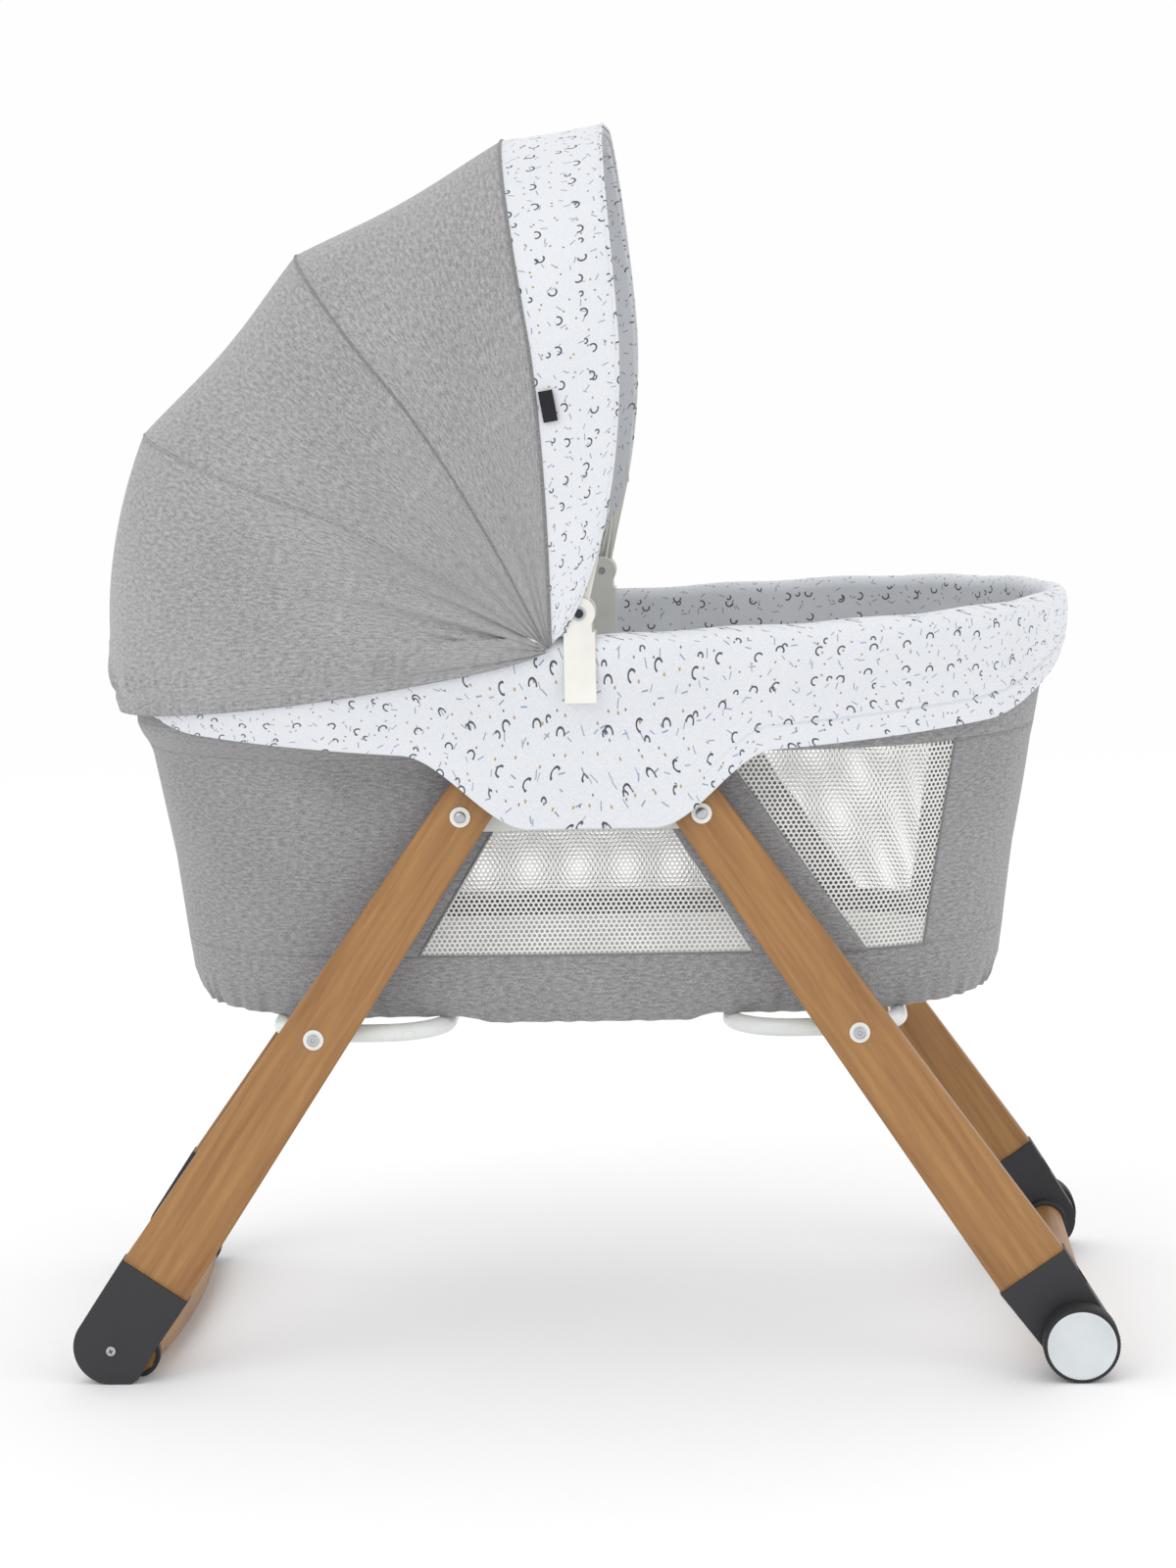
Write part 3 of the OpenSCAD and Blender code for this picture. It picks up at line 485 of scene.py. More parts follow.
def bolt_head(name, x, z, side, socket):
    """A shank and a head: the head is a low dome, or a flat one with a rounded rim and a recess."""
    dome = [(BOLT_HEAD_R * cos(a), head_seat + 0.0008 + (HEAD_H - 0.0008) * sin(a))
            for a in np.linspace(0, pi / 2 * 0.98, 9)]
    flat = [(BOLT_HEAD_R, head_seat + HEAD_H - 0.0008), (BOLT_HEAD_R - 0.0008, head_seat + HEAD_H),
            (0.0024, head_seat + HEAD_H), (0.0021, head_seat + HEAD_H - 0.0003),
            (0.0021, head_seat + HEAD_H - 0.002), (0.0002, head_seat + HEAD_H - 0.002)]
    base = [(0.003, leg_in_y - 0.006), (0.003, head_seat - 0.0001), (BOLT_HEAD_R - 0.0002, head_seat)]
    return turned(name, base + [(BOLT_HEAD_R, head_seat + 0.0004)] + (flat if socket else dome),
                  (x, z), side, 36)


for node, at_x, at_z, socket in (("upper_bolts", bolt_x, bolt_z, False),
                                 ("lower_bolts", lower_x, lower_z, True)):
    heads = [bolt_head(f"{node}_{i}", end * at_x, at_z, side, socket)
             for i, (end, side) in enumerate(((-1, -1), (-1, 1), (1, -1), (1, 1)))]
    settle(join("turned_" + node, heads), "stand", zinc, "zinc", node)
settle(frame["nodes"]["leg_washers"], None, nylon_white, "white_steel")
settle(frame["nodes"]["leg_nuts"], None, zinc, "zinc")

screw_low, screw_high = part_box("shoe_screws")
screw_heads = []
for side in (-1, 1):
    seat, out = screw_high.y - 0.0018, screw_high.y
    head = turned(f"screw_{side}", [(0.002, seat - 0.005), (0.002, seat), (0.005, seat), (0.005, seat + 0.0006),
                                    (0.0042, out - 0.0002), (0.0025, out), (0.0002, out)],
                  (-foot_x, foot_z - 0.003), side, 32)
    head.data.materials.append(zinc)
    for turn in (radians(20), radians(110)):
        cross = rounded_section(0.0024, 0.0005, 0.0002, 3)
        bar = [np.stack([-foot_x + cross[:, 0] * cos(turn) - cross[:, 1] * sin(turn),
                         np.full(len(cross), side * y),
                         foot_z - 0.003 + cross[:, 0] * sin(turn) + cross[:, 1] * cos(turn)], -1)
               for y in (out - 0.0006, out + 0.00012)]
        slot_piece = surface(f"cross_{side}_{turn:.1f}", bar, wrap=True, ends=True)
        slot_piece.data.materials.append(dark_recess)
        screw_heads += [slot_piece]
    screw_heads.insert(0, head)
settle(join("cross_head_screws", screw_heads), "stand", None, "zinc", "shoe_screws")

# ---------------------------------------------------------------- tube frame under and round the basket
# White enamelled steel tube: two closed loops under the basket, the oval rim, and a pressed bracket
# each side that hangs the rim on the upper bolts.

enamel = moulded("white_enamel", srgb(226, 229, 227), 0.28, 0.00001, 400.0, Coat_Weight=0.3)
for node in ("base_loop_head", "base_loop_foot", "rim_tube", "side_bracket_near", "side_bracket_far"):
    settle(frame["nodes"][node], None, enamel, "white_steel")

# ---------------------------------------------------------------- base board and mattress
# A thin board lies on the basket's floor, and on it a foam mattress in a quilted white cover.
# The pad is swollen as cloth, so its edges crown and its sides pull in at the seam.

weave, v_in, v_out = new_group(
    "cloth_weave",
    [("Vector", "Vector"), ("Color", "Light"), ("Color", "Dark"), ("Float", "Threads", 1300.0),
     ("Float", "Mottle", 0.5)],
    [("Color", "Color"), ("Float", "Height")],
)
weft_at = stretched(weave, v_in["Vector"], 0.3, 1, 1)
warp = noise(weave, stretched(weave, v_in["Vector"], 1, 0.3, 1), v_in["Threads"], 2)
weft = noise(weave, weft_at, v_in["Threads"], 2)
slub = noise(weave, weft_at, calc(weave, "MULTIPLY", v_in["Threads"], 0.3), 3)
cloud = noise(weave, v_in["Vector"], 9, 3)
threads = calc(weave, "ADD", calc(weave, "MULTIPLY", warp, 0.5), calc(weave, "MULTIPLY", weft, 0.5))
blotch = calc(weave, "MULTIPLY", calc(weave, "SUBTRACT", slub, 0.5), v_in["Mottle"])
drift = calc(weave, "MULTIPLY", calc(weave, "SUBTRACT", cloud, 0.5), 0.12)
thread_mix = remap(weave, calc(weave, "ADD", threads, calc(weave, "ADD", blotch, drift)), 0.36, 0.64)
weave.links.new(tint(weave, thread_mix, v_in["Dark"], v_in["Light"]), v_out["Color"])
weave.links.new(threads, v_out["Height"])


def cloth(name, light, dark, threads, mottle=0.5, bump_m=0.00025, sheen=0.25):
    """A woven cloth whose threads follow the piece's own UV map."""
    made, tree, shader = new_material(name, 0.92, Sheen_Weight=sheen, Sheen_Roughness=0.5)
    shader.inputs["Specular IOR Level"].default_value = 0.2
    woven = place_group(tree, weave, {"Vector": add(tree, "TexCoord").outputs["UV"], "Light": light,
                                      "Dark": dark, "Threads": threads, "Mottle": mottle})
    tree.links.new(woven.outputs["Color"], shader.inputs["Base Color"])
    emboss(tree, shader, woven.outputs["Height"], 0.6, bump_m)
    return made


board_finish = moulded("board_grey", srgb(206, 199, 184), 0.7, 0.00005, 700.0)
settle(frame["nodes"]["base_board"], None, board_finish, "board")

pad_low, pad_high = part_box("mattress")
PAD_SWELL, PAD_VOXEL, PAD_STEPS, PAD_MOST = 0.003, 0.007, 20, 0.006


def round_trip(half_straight, radius, columns):
    """Lengths evenly spaced round a stadium outline from the middle of its near side, how far each is from
    there by the shorter way, and 1 or -1 for the way that is taken."""
    quarter = half_straight + radius * pi / 2
    length = np.linspace(0, 4 * quarter, columns, endpoint=False)
    back = length > 2 * quarter
    return length, np.where(back, 4 * quarter - length, length), np.where(back, -1, 1)


def stadium(away, half_straight, radius):
    """At a length away from the middle of a stadium's near side: how far along its straight sides that is,
    and how far round the end it has turned."""
    turn = np.clip((away - half_straight) / radius, 0, pi)
    return np.minimum(away, half_straight) - np.maximum(0, away - half_straight - pi * radius), turn


def stadium_ring(half_straight, radius, z, columns):
    """Points of a stadium outline at one height, evenly spaced along it."""
    _, away, side = round_trip(half_straight, radius, columns)
    core, turn = stadium(away, half_straight, radius)
    return np.stack([side * (core + radius * np.sin(turn)), -radius * np.cos(turn), np.full(columns, z)], -1)


pad_r = (pad_high.y - pad_low.y) / 2 - PAD_SWELL
pad_straight = (pad_high.x - pad_low.x) / 2 - PAD_SWELL - pad_r
pad_rings = []
for inset, height in ((0.99, 0), (0.5, 0), (0.04, 0), (0.012, 0.05), (0.002, 0.25), (0, 0.5), (0.002, 0.75),
                      (0.012, 0.95), (0.04, 1), (0.5, 1), (0.99, 1)):
    pad_rings.append(stadium_ring(pad_straight, pad_r * (1 - inset),
                                  pad_low.z + PAD_SWELL + (pad_high.z - pad_low.z - 2 * PAD_SWELL) * height, 120))
pad = surface("mattress_pad", pad_rings, wrap=True, ends=True)
remesh = pad.modifiers.new("even_cloth", "REMESH")
remesh.mode = "VOXEL"
remesh.voxel_size = PAD_VOXEL
bpy.context.view_layer.objects.active = pad
bpy.ops.object.modifier_apply(modifier=remesh.name)
before = np.zeros(len(pad.data.vertices) * 3)
pad.data.vertices.foreach_get("co", before)
swell = pad.modifiers.new("swell", "CLOTH")
swell.settings.use_pressure = True
swell.settings.uniform_pressure_force = 4
swell.settings.effector_weights.gravity = 0
for step in range(1, PAD_STEPS + 1):
    bpy.context.scene.frame_set(step)
bpy.ops.object.modifier_apply(modifier=swell.name)
bpy.context.scene.frame_set(1)
after = np.zeros_like(before)
pad.data.vertices.foreach_get("co", after)
moved = (after - before).reshape(-1, 3)
reach = np.maximum(np.linalg.norm(moved, axis=1, keepdims=True), 1e-9)
held = before.reshape(-1, 3) + moved * np.minimum(1, PAD_MOST / reach)
held = np.clip(held, pad_low, pad_high)
pad.data.vertices.foreach_set("co", held.ravel())
pad.data.shade_smooth()
pad_cloth, pad_tree, pad_shader = new_material("mattress_cover", 0.9, Sheen_Weight=0.2)
pad_at = add(pad_tree, "TexCoord").outputs["Object"]
pad_weave = place_group(pad_tree, weave, {"Vector": pad_at, "Light": srgb(244, 244, 241),
                                          "Dark": srgb(226, 226, 222), "Threads": 900.0, "Mottle": 0.2})
pad_tree.links.new(pad_weave.outputs["Color"], pad_shader.inputs["Base Color"])
pad_quilt = add(pad_tree, "TexVoronoi", {"Vector": pad_at, "Scale": 28}).outputs["Distance"]
emboss(pad_tree, pad_shader, pad_quilt, 0.3, 0.002)
settle(pad, "stand", pad_cloth, "mattress_cloth", "mattress")

# ---------------------------------------------------------------- basket of heather cloth
# Grey melange canvas sewn in panels: a floor and low band with a gathered hem, the two ends, a strip
# each side that runs with the leg between the windows, and a band under the cover. The seams are piped.

heather = cloth("heather_canvas", srgb(178, 178, 179), srgb(130, 130, 131), 1500.0, 0.6)
# The basket wall's cloth is the hood's heather painted darker: painted shade for the wall, which leans in and faces
# down, so it gets less light.
heather_painted_shade = cloth("heather_painted_shade", srgb(166, 166, 167), srgb(120, 120, 121), 1500.0, 0.6)
heather_dark = cloth("heather_binding", srgb(146, 146, 147), srgb(112, 112, 113), 1500.0, 0.4)
HEM_Z, WINDOW_TOP, BASKET_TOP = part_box("basket_fabric")[0].z + 0.0002, 0.560, 0.634
window_low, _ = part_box("mesh_windows_near")
WINDOW_Z = window_low.z
STRIP_W, STRIP_X = 0.052, lower_x + 0.008
rim_low, rim_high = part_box("rim_tube")
RIM_R, RIM_STRAIGHT, RIM_Z, RIM_TILT = 0.250, 0.181, (rim_low.z + rim_high.z) / 2, radians(2.3)
HEM_SAG, SAG_HALF, RIPPLE = 0.006, 0.115, 0.0017
# Height, half length of the straight sides and end radius at each level of the wall
LEVELS = np.array([(HEM_Z, 0.192, 0.172), (0.329, 0.192, 0.178), (0.345, 0.193, 0.183), (0.370, 0.195, 0.185),
                   (0.410, 0.198, 0.187), (0.450, 0.200, 0.190), (0.548, 0.206, 0.202), (0.594, 0.181, 0.2405),
                   (0.634, 0.181, 0.241)])


def soft_step(t):
    """0 before 0, 1 after 1, and an even S between."""
    t = np.clip(t, 0, 1)
    return t * t * (3 - 2 * t)


def level(z):
    """The wall's half length of straight side and its end radius at a height."""
    return np.interp(z, LEVELS[:, 0], LEVELS[:, 1]), np.interp(z, LEVELS[:, 0], LEVELS[:, 2])


def wall_point(p, z):
    """A point of the basket's wall. p is the way round from the middle of the near side: along X on the
    straight, then round the end, so -half..half covers the near side. The wall's size at z is read off
    LEVELS, and its lowest part is gathered: waves of two lengths that die away with height. The hem sags
    between the two loops, and the top follows the rim's tilt."""
    straight, radius = level(z)
    low = np.clip(1 - (z - HEM_Z) / 0.05, 0, 1) ** 2
    wave = np.sin(p * 215 + 2 * np.sin(p * 31)) + 0.6 * np.sin(p * 347 + 1.3)
    slack = np.sin(p * 17 + 4 * z) * np.sin(z * 23) * 0.0010
    radius = radius + low * RIPPLE * wave + slack
    core, turn = stadium(np.abs(p), straight, radius)
    x = np.sign(p) * (core + radius * np.sin(turn))
    sag = HEM_SAG * low * soft_step((SAG_HALF - np.abs(x)) / 0.03)
    tilt = x * sin(RIM_TILT) * soft_step((z - 0.548) / 0.046)
    return np.stack([x, -radius * np.cos(turn), z - sag + tilt], -1)


def way_round(x, z):
    """How far round the wall a place on the near side lies, from its X: the wall's straight, then its arc."""
    straight, radius = level(z)
    past = np.clip((np.abs(x) - straight) / radius, 0, 1)
    return np.sign(x) * (np.minimum(np.abs(x), straight) + radius * np.arcsin(past))


def half_round(z):
    """Half the wall's length round at a height: from mid near side to mid far side."""
    straight, radius = level(z)
    return 2 * straight + pi * radius


def window_edge(which, z):
    """X of a window's upright edges at a height: the middle window narrows upward with the legs' lean, and
    the foot window's inner edge runs with it while its outer edge leans out."""
    up = z - WINDOW_Z
    lean = tan(leg_angle)
    mid = bolt_x + 0.044
    narrowing = lean - 0.076
    return {"mid_left": -mid + up * narrowing, "mid_right": mid - up * narrowing,
            "foot_left": STRIP_X - up * lean, "foot_right": STRIP_X + STRIP_W + up * 0.163}[which]


def edge_way(which, z):
    """How far round the wall a window's edge lies at a height."""
    return way_round(window_edge(which, z), z)


def on_side(grid, side):
    """A grid made for the near side, kept there for side -1 and mirrored to the far side for side 1."""
    return np.asarray(grid) * np.array([1, -side, 1])


def wall_patch(name, left, right, columns, side=-1):
    """A patch of wall as high as the windows, between two edges given as functions of height."""
    z = np.linspace(WINDOW_Z - 0.001, WINDOW_TOP, 40)[:, None]
    share = np.linspace(0, 1, columns)[None, :]
    p = left(z) * (1 - share) + right(z) * share
    return surface(name, on_side(wall_point(p, z + 0 * p), side))


def thicken(piece, thickness, offset=-1.0):
    """Gives a sheet its cloth's thickness, inwards from its face."""
    wall = piece.modifiers.new("cloth_thickness", "SOLIDIFY")
    wall.thickness = thickness
    wall.offset = offset
    return piece


def cut_size(piece):
    """The flat size of a cloth panel, from its UV map: its longest row and its height."""
    uv = np.zeros(len(piece.data.loops) * 2, np.float32)
    piece.data.uv_layers[0].data.foreach_get("uv", uv)
    size = np.ptp(uv.reshape(-1, 2), axis=0)
    return float(size[0]), float(size[1])


def declare_sheet(piece):
    """Reads a panel's flat size from its UV map; the size is not kept."""
    cut_size(piece)


low_z = np.concatenate([[HEM_Z] * 5, np.linspace(HEM_Z, WINDOW_Z, 34)])
low_rings = []
for i, z in enumerate(low_z):
    around = np.linspace(-half_round(z), half_round(z), 900, endpoint=False)
    ring = wall_point(around, np.full(900, z))
    inward = (0.0005, 0.3, 0.6, 0.9, 0.99)[i] if i < 5 else 1
    core = np.clip(ring[:, 0], -LEVELS[0, 1], LEVELS[0, 1])
    ring[:, 0] = core + (ring[:, 0] - core) * inward
    ring[:, 1] *= inward
    low_rings.append(ring)
basket_low = surface("basket_low_band", low_rings, wrap=True)
basket_head = wall_patch("basket_head_end", lambda z: -half_round(z) - edge_way("mid_left", z),
                         lambda z: edge_way("mid_left", z), 260)
basket_foot = wall_patch("basket_foot_end", lambda z: edge_way("foot_right", z),
                         lambda z: half_round(z) - edge_way("foot_right", z), 160)
LEAST_STRIP = 0.012
basket_strips = [
    wall_patch("basket_strip_" + side_name, lambda z: edge_way("mid_right", z),
               lambda z: np.maximum(edge_way("foot_left", z), edge_way("mid_right", z) + LEAST_STRIP), 24, side)
    for side_name, side in (("near", -1), ("far", 1))]
top_z = np.linspace(WINDOW_TOP - 0.001, BASKET_TOP, 16)
top_rings = [wall_point(np.linspace(-half_round(z), half_round(z), 480, endpoint=False), np.full(480, z))
             for z in top_z]
basket_top = surface("basket_top_band", top_rings, wrap=True)
# every basket panel takes the darker heather, whose extra darkness is painted shade
for piece in (basket_low, basket_head, basket_foot, *basket_strips, basket_top):
    thicken(piece, 0.0014)
    settle(piece, "stand", heather_painted_shade, "heather_cloth", "basket_fabric")
    declare_sheet(piece)


def piping(name, path, radius, material, body, slot, sides=8):
    """A round cord of one radius carried along a path, its ring turned to stay square to the path."""
    path = np.asarray(path, float)
    ahead = np.gradient(path, axis=0)
    ahead /= np.linalg.norm(ahead, axis=1, keepdims=True)
    up = np.cross(ahead, np.array([0.13, 0.21, 0.97]))
    up /= np.linalg.norm(up, axis=1, keepdims=True)
    out = np.cross(ahead, up)
    angle = np.linspace(0, 2 * pi, sides, endpoint=False)[None, :, None]
    rings = path[:, None] + radius * (np.cos(angle) * up[:, None] + np.sin(angle) * out[:, None])
    return settle(surface(name, rings, wrap=True, ends=True), body, material, slot)


for side_name, side in (("near", -1), ("far", 1)):
    for edge in ("mid_left", "mid_right", "foot_left", "foot_right"):
        z = np.linspace(WINDOW_Z, WINDOW_TOP, 60)
        line = on_side(wall_point(edge_way(edge, z), z), side)
        piping(f"window_piping_{edge}_{side_name}", line, 0.0011, heather_dark, "stand", "heather_cloth")
    for label in ("mid", "foot"):
        p = np.linspace(*(edge_way(label + end, WINDOW_Z) for end in ("_left", "_right")), 80)
        line = on_side(wall_point(p, np.full(80, WINDOW_Z)), side)
        piping(f"window_sill_{label}_{side_name}", line, 0.0011, heather_dark, "stand", "heather_cloth")

# ---------------------------------------------------------------- mesh windows
# White knitted net with six-sided holes, two windows a side, sewn behind the canvas so that air passes.

NET_PITCH, HOLE_SHARE, NET_INSET, NET_LAP = 0.0046, 0.66, 0.0016, 0.002
net_yarn = moulded("net_yarn", srgb(232, 232, 229), 0.85, 0.00002, 1500.0)


def net(name, label, side):
    """A net of six-sided rings: each ring's outer corners meet its neighbours', its inner corners leave
    the hole, and centres lie on rows a pitch apart with every second row shifted by half a pitch."""
    row_step = NET_PITCH * 3 ** 0.5 / 2
    z = np.arange(WINDOW_Z - NET_LAP, WINDOW_TOP, row_step)
    p = np.arange(-0.20, 0.42, NET_PITCH)
    pp, zz = np.meshgrid(p, z)
    pp = pp + (np.arange(len(z)) % 2)[:, None] * NET_PITCH / 2
    low, high = edge_way(label + "_left", zz) - NET_LAP, edge_way(label + "_right", zz) + NET_LAP
    inside = (pp > low) & (pp < high)
    centre = np.stack([pp[inside], zz[inside]], -1)
    angle = np.arange(6) * pi / 3 + pi / 6
    corner = np.stack([np.cos(angle), np.sin(angle)], -1) * NET_PITCH / 3 ** 0.5
    flat = np.concatenate([centre[:, None] + corner, centre[:, None] + corner * HOLE_SHARE], 1)
    points = wall_point(flat[..., 0].ravel(), flat[..., 1].ravel())
    points[:, 1] += NET_INSET
    points = on_side(points, side)
    k = np.arange(6)
    ring = np.stack([k, (k + 1) % 6, (k + 1) % 6 + 6, k + 6], -1)
    faces = (np.arange(len(centre))[:, None, None] * 12 + ring).reshape(-1, 4)
    mesh = bpy.data.meshes.new(name)
    mesh.from_pydata(points.tolist(), [], (faces if side < 0 else faces[:, ::-1]).tolist())
    reshape(mesh, lambda shape: bmesh.ops.remove_doubles(shape, verts=shape.verts, dist=0.0001))
    piece = thicken(placed(name, mesh), 0.0005)
    # the area is the yarn's own: every cell's hexagon less its hole
    return settle(piece, "stand", net_yarn, "mesh", "mesh_windows_near" if side < 0 else "mesh_windows_far")


for side_name, side in (("near", -1), ("far", 1)):
    for label in ("mid", "foot"):
        net(f"net_window_{label}_{side_name}", label, side)

# ---------------------------------------------------------------- printed cotton cover
# A white cotton cover printed with small marks: an outer flap with a tongue over the leg tops, a soft
# roll over the rim tube and a lining that hangs inside the basket. Its hem is turned up and stitched.

hub = Vector(next(j for j in frame["joints"] if j["name"] == "hood_fold")["pos_m"])
COVER_OUT, FLAP_LEAN, FLAP_LEAN_H, LINING_H = 0.262, 0.016, 0.085, 0.058
EDGE_DROP, TONGUE_DROP, TONGUE_IN, TONGUE_OUT, EDGE_SLOPE, END_RISE = 0.091, 0.067, 0.055, 0.165, 0.08, 0.060
COVER_END = RIM_STRAIGHT + COVER_OUT


def cover_edge(x):
    """Height of the cover's lower edge: a tongue at the hub, a slow rise, and a quick one round the ends."""
    u = np.abs(x - hub.x)
    return (RIM_Z - EDGE_DROP - TONGUE_DROP * (1 - soft_step((u - TONGUE_IN) / (TONGUE_OUT - TONGUE_IN)))
            + EDGE_SLOPE * np.maximum(0, u - TONGUE_OUT)
            + END_RISE * (np.maximum(0, u - COVER_END + 0.093) / 0.093) ** 2)


def flap_radius(h):
    """Distance of the outer flap from the rim's middle line at a height below the rim: it draws in."""
    return COVER_OUT - FLAP_LEAN * soft_step(-h / FLAP_LEAN_H)


def tilted(x, y, h):
    """A place given in the rim's own tilted plane, as X, Y, Z."""
    return np.stack([x * cos(RIM_TILT) - h * sin(RIM_TILT), y + 0 * x,
                     RIM_Z + x * sin(RIM_TILT) + h * cos(RIM_TILT)], -1)


def cover_grid():
    """The cover as rows down its section and columns round the rim. Rows run up the outer flap from the
    lower edge, over a half circle on the rim and down the lining. The hem is a shallow step near the edge,
    and the lining and the foot end carry small folds."""
    way, away, side = round_trip(RIM_STRAIGHT, RIM_R, 1100)
    core, turn = stadium(away, RIM_STRAIGHT, RIM_R)
    core = side * core
    out_x, out_y = side * np.sin(turn), -np.cos(turn)
    edge_x = core + out_x * (COVER_OUT - FLAP_LEAN)
    low_h = (cover_edge(edge_x) - RIM_Z - edge_x * sin(RIM_TILT)) / cos(RIM_TILT)
    foot = soft_step((edge_x - 0.02) / 0.2)
    clear_of_clip = np.clip(soft_step((np.abs(core - hub.x) - 0.02) / 0.03) + (turn > 0), 0, 1)
    rows = []
    for share in np.concatenate([np.linspace(0, 0.4, 46), np.linspace(0.42, 1, 26)]):
        h = low_h * (1 - share)
        above = h - low_h
        hem = 0.0012 * (1 - soft_step((above - 0.019) / 0.002)) * foot
        groove = -0.0016 * np.exp(-((above - 0.0205) / 0.0012) ** 2) * foot
        pucker = (np.sin(way * 260 + 3 * np.sin(way * 41)) * np.exp(-((above - 0.022) / 0.012) ** 2)
                  * 0.0009 * foot)
        swell = 0.0012 * np.sin(way * 13 + 1.0) * np.sin(pi * share) * clear_of_clip
        radius = flap_radius(h) + (hem + groove + pucker + swell) * clear_of_clip
        rows.append(tilted(core + out_x * radius, out_y * radius, h))
    for a in np.linspace(0, pi, 18)[1:]:
        soft = 0.0008 * np.sin(way * 57) * np.sin(a) * clear_of_clip
        radius = RIM_R + (0.012 + soft) * cos(a)
        rows.append(tilted(core + out_x * radius, out_y * radius, (0.0115 + soft) * sin(a) + 0 * way))
    for share in np.linspace(0.06, 1, 16):
        fold = np.sin(way * 63 + 3 * share) * 0.6 + np.sin(way * 107 - 4 * share + 1)
        radius = RIM_R - 0.012 - 0.0022 * np.maximum(0, fold) * share * clear_of_clip
        rows.append(tilted(core + out_x * radius, out_y * radius, -LINING_H * share + 0 * way))
    return np.array(rows)


# Each mark sits in its own square cell, shifted and turned by chance within it
scatter, s_in, s_out = new_group(
    "scattered_cells",
    [("Vector", "Vector"), ("Float", "Cell", 0.03), ("Float", "Seed", 0.0), ("Float", "Turn", 2 * pi)],
    [("Vector", "Local")],
)
in_cells = scaled(scatter, s_in["Vector"], calc(scatter, "DIVIDE", 1.0, s_in["Cell"]))
seeded = add(scatter, "CombineXYZ", {0: calc(scatter, "MULTIPLY", s_in["Seed"], 0.37),
                                     1: calc(scatter, "MULTIPLY", s_in["Seed"], 0.61)}).outputs[0]
shifted = vector(scatter, "ADD", in_cells, seeded)
cell = vector(scatter, "FLOOR", shifted)
inside = vector(scatter, "SUBTRACT", shifted, cell)
keyed = vector(scatter, "ADD", cell, add(scatter, "CombineXYZ", {2: s_in["Seed"]}).outputs[0])
chance = add(scatter, "TexWhiteNoise", {"Vector": keyed}).outputs["Color"]
parts = add(scatter, "SeparateXYZ", {0: chance})
off_x, off_y = (calc(scatter, "ADD", 0.3, calc(scatter, "MULTIPLY", parts.outputs[i], 0.4)) for i in (0, 1))
centred = vector(scatter, "SUBTRACT", inside, add(scatter, "CombineXYZ", {0: off_x, 1: off_y}).outputs[0])
flat_only = vector(scatter, "MULTIPLY", centred, (1, 1, 0))
turned_by = calc(scatter, "MULTIPLY", parts.outputs[2], s_in["Turn"])
spun = add(scatter, "VectorRotate", {"Vector": flat_only, "Angle": turned_by}, rotation_type="Z_AXIS").outputs[0]
scatter.links.new(scaled(scatter, spun, s_in["Cell"]), s_out["Local"])


INK_EDGE = 0.00015


def mark(tree, kind, at, cell_size, seed, size, thick):
    """A mask of one kind of mark: an arc is a ring open on one side, a dot a disc, a dash a short bar."""
    turn = 2.2 if kind == "arc" else 2 * pi
    place = place_group(tree, scatter, {"Vector": at, "Cell": cell_size, "Seed": seed, "Turn": turn}).outputs["Local"]
    x, y, _ = (add(tree, "SeparateXYZ", {0: place}).outputs[i] for i in range(3))
    if kind == "dash":
        away = calc(tree, "MAXIMUM", calc(tree, "SUBTRACT", calc(tree, "ABSOLUTE", x), size),
                    calc(tree, "SUBTRACT", calc(tree, "ABSOLUTE", y), thick))
    else:
        length = add(tree, "VectorMath", {0: place}, operation="LENGTH").outputs["Value"]
        away = calc(tree, "SUBTRACT", length, size)
        if kind == "arc":
            away = calc(tree, "SUBTRACT", calc(tree, "ABSOLUTE", away), thick)
            away = calc(tree, "MAXIMUM", away, calc(tree, "SUBTRACT", x, size * 0.35))
    return remap(tree, away, INK_EDGE, -INK_EDGE)


cotton, cotton_tree, cotton_shader = new_material("printed_cotton", 0.88, Sheen_Weight=0.12)
cotton_at = add(cotton_tree, "TexCoord").outputs["UV"]
ground = place_group(cotton_tree, weave, {"Vector": cotton_at, "Light": srgb(230, 232, 236),
                                          "Dark": srgb(211, 214, 219), "Threads": 1800.0, "Mottle": 0.15})
printed = ground.outputs["Color"]
for kind, cell_size, seed, size, thick, ink in (
    ("dash", 0.0190, 5.0, 0.0028, 0.00045, srgb(140, 155, 176)),
    ("dash", 0.0230, 9.0, 0.0022, 0.00045, srgb(158, 166, 180)),
    ("dot", 0.0200, 3.0, 0.0010, 0.0, srgb(180, 152, 116)),
    ("dot", 0.0240, 8.0, 0.0008, 0.0, srgb(110, 114, 122)),
    ("arc", 0.0265, 1.0, 0.0033, 0.0007, srgb(74, 78, 86)),
    ("arc", 0.0400, 7.0, 0.0020, 0.0007, srgb(84, 88, 96)),
):
    mask = mark(cotton_tree, kind, cotton_at, cell_size, seed, size, thick)
    printed = tint(cotton_tree, mask, printed, ink)
cotton_tree.links.new(printed, cotton_shader.inputs["Base Color"])
emboss(cotton_tree, cotton_shader, ground.outputs["Height"], 0.4, 0.00012)

cover = thicken(surface("printed_rim_cover", cover_grid(), wrap=True), 0.0011)
settle(cover, "stand", cotton, "printed_cotton", "printed_cover")
declare_sheet(cover)

# ---------------------------------------------------------------- hood clips, arms and pivot screws
# Ivory moulded clips straddle the rim, with two lugs that take the pivot screw. The arms are moulded on
# the lead hoop's ends. The screw's head is a dished disc with a dark recess.

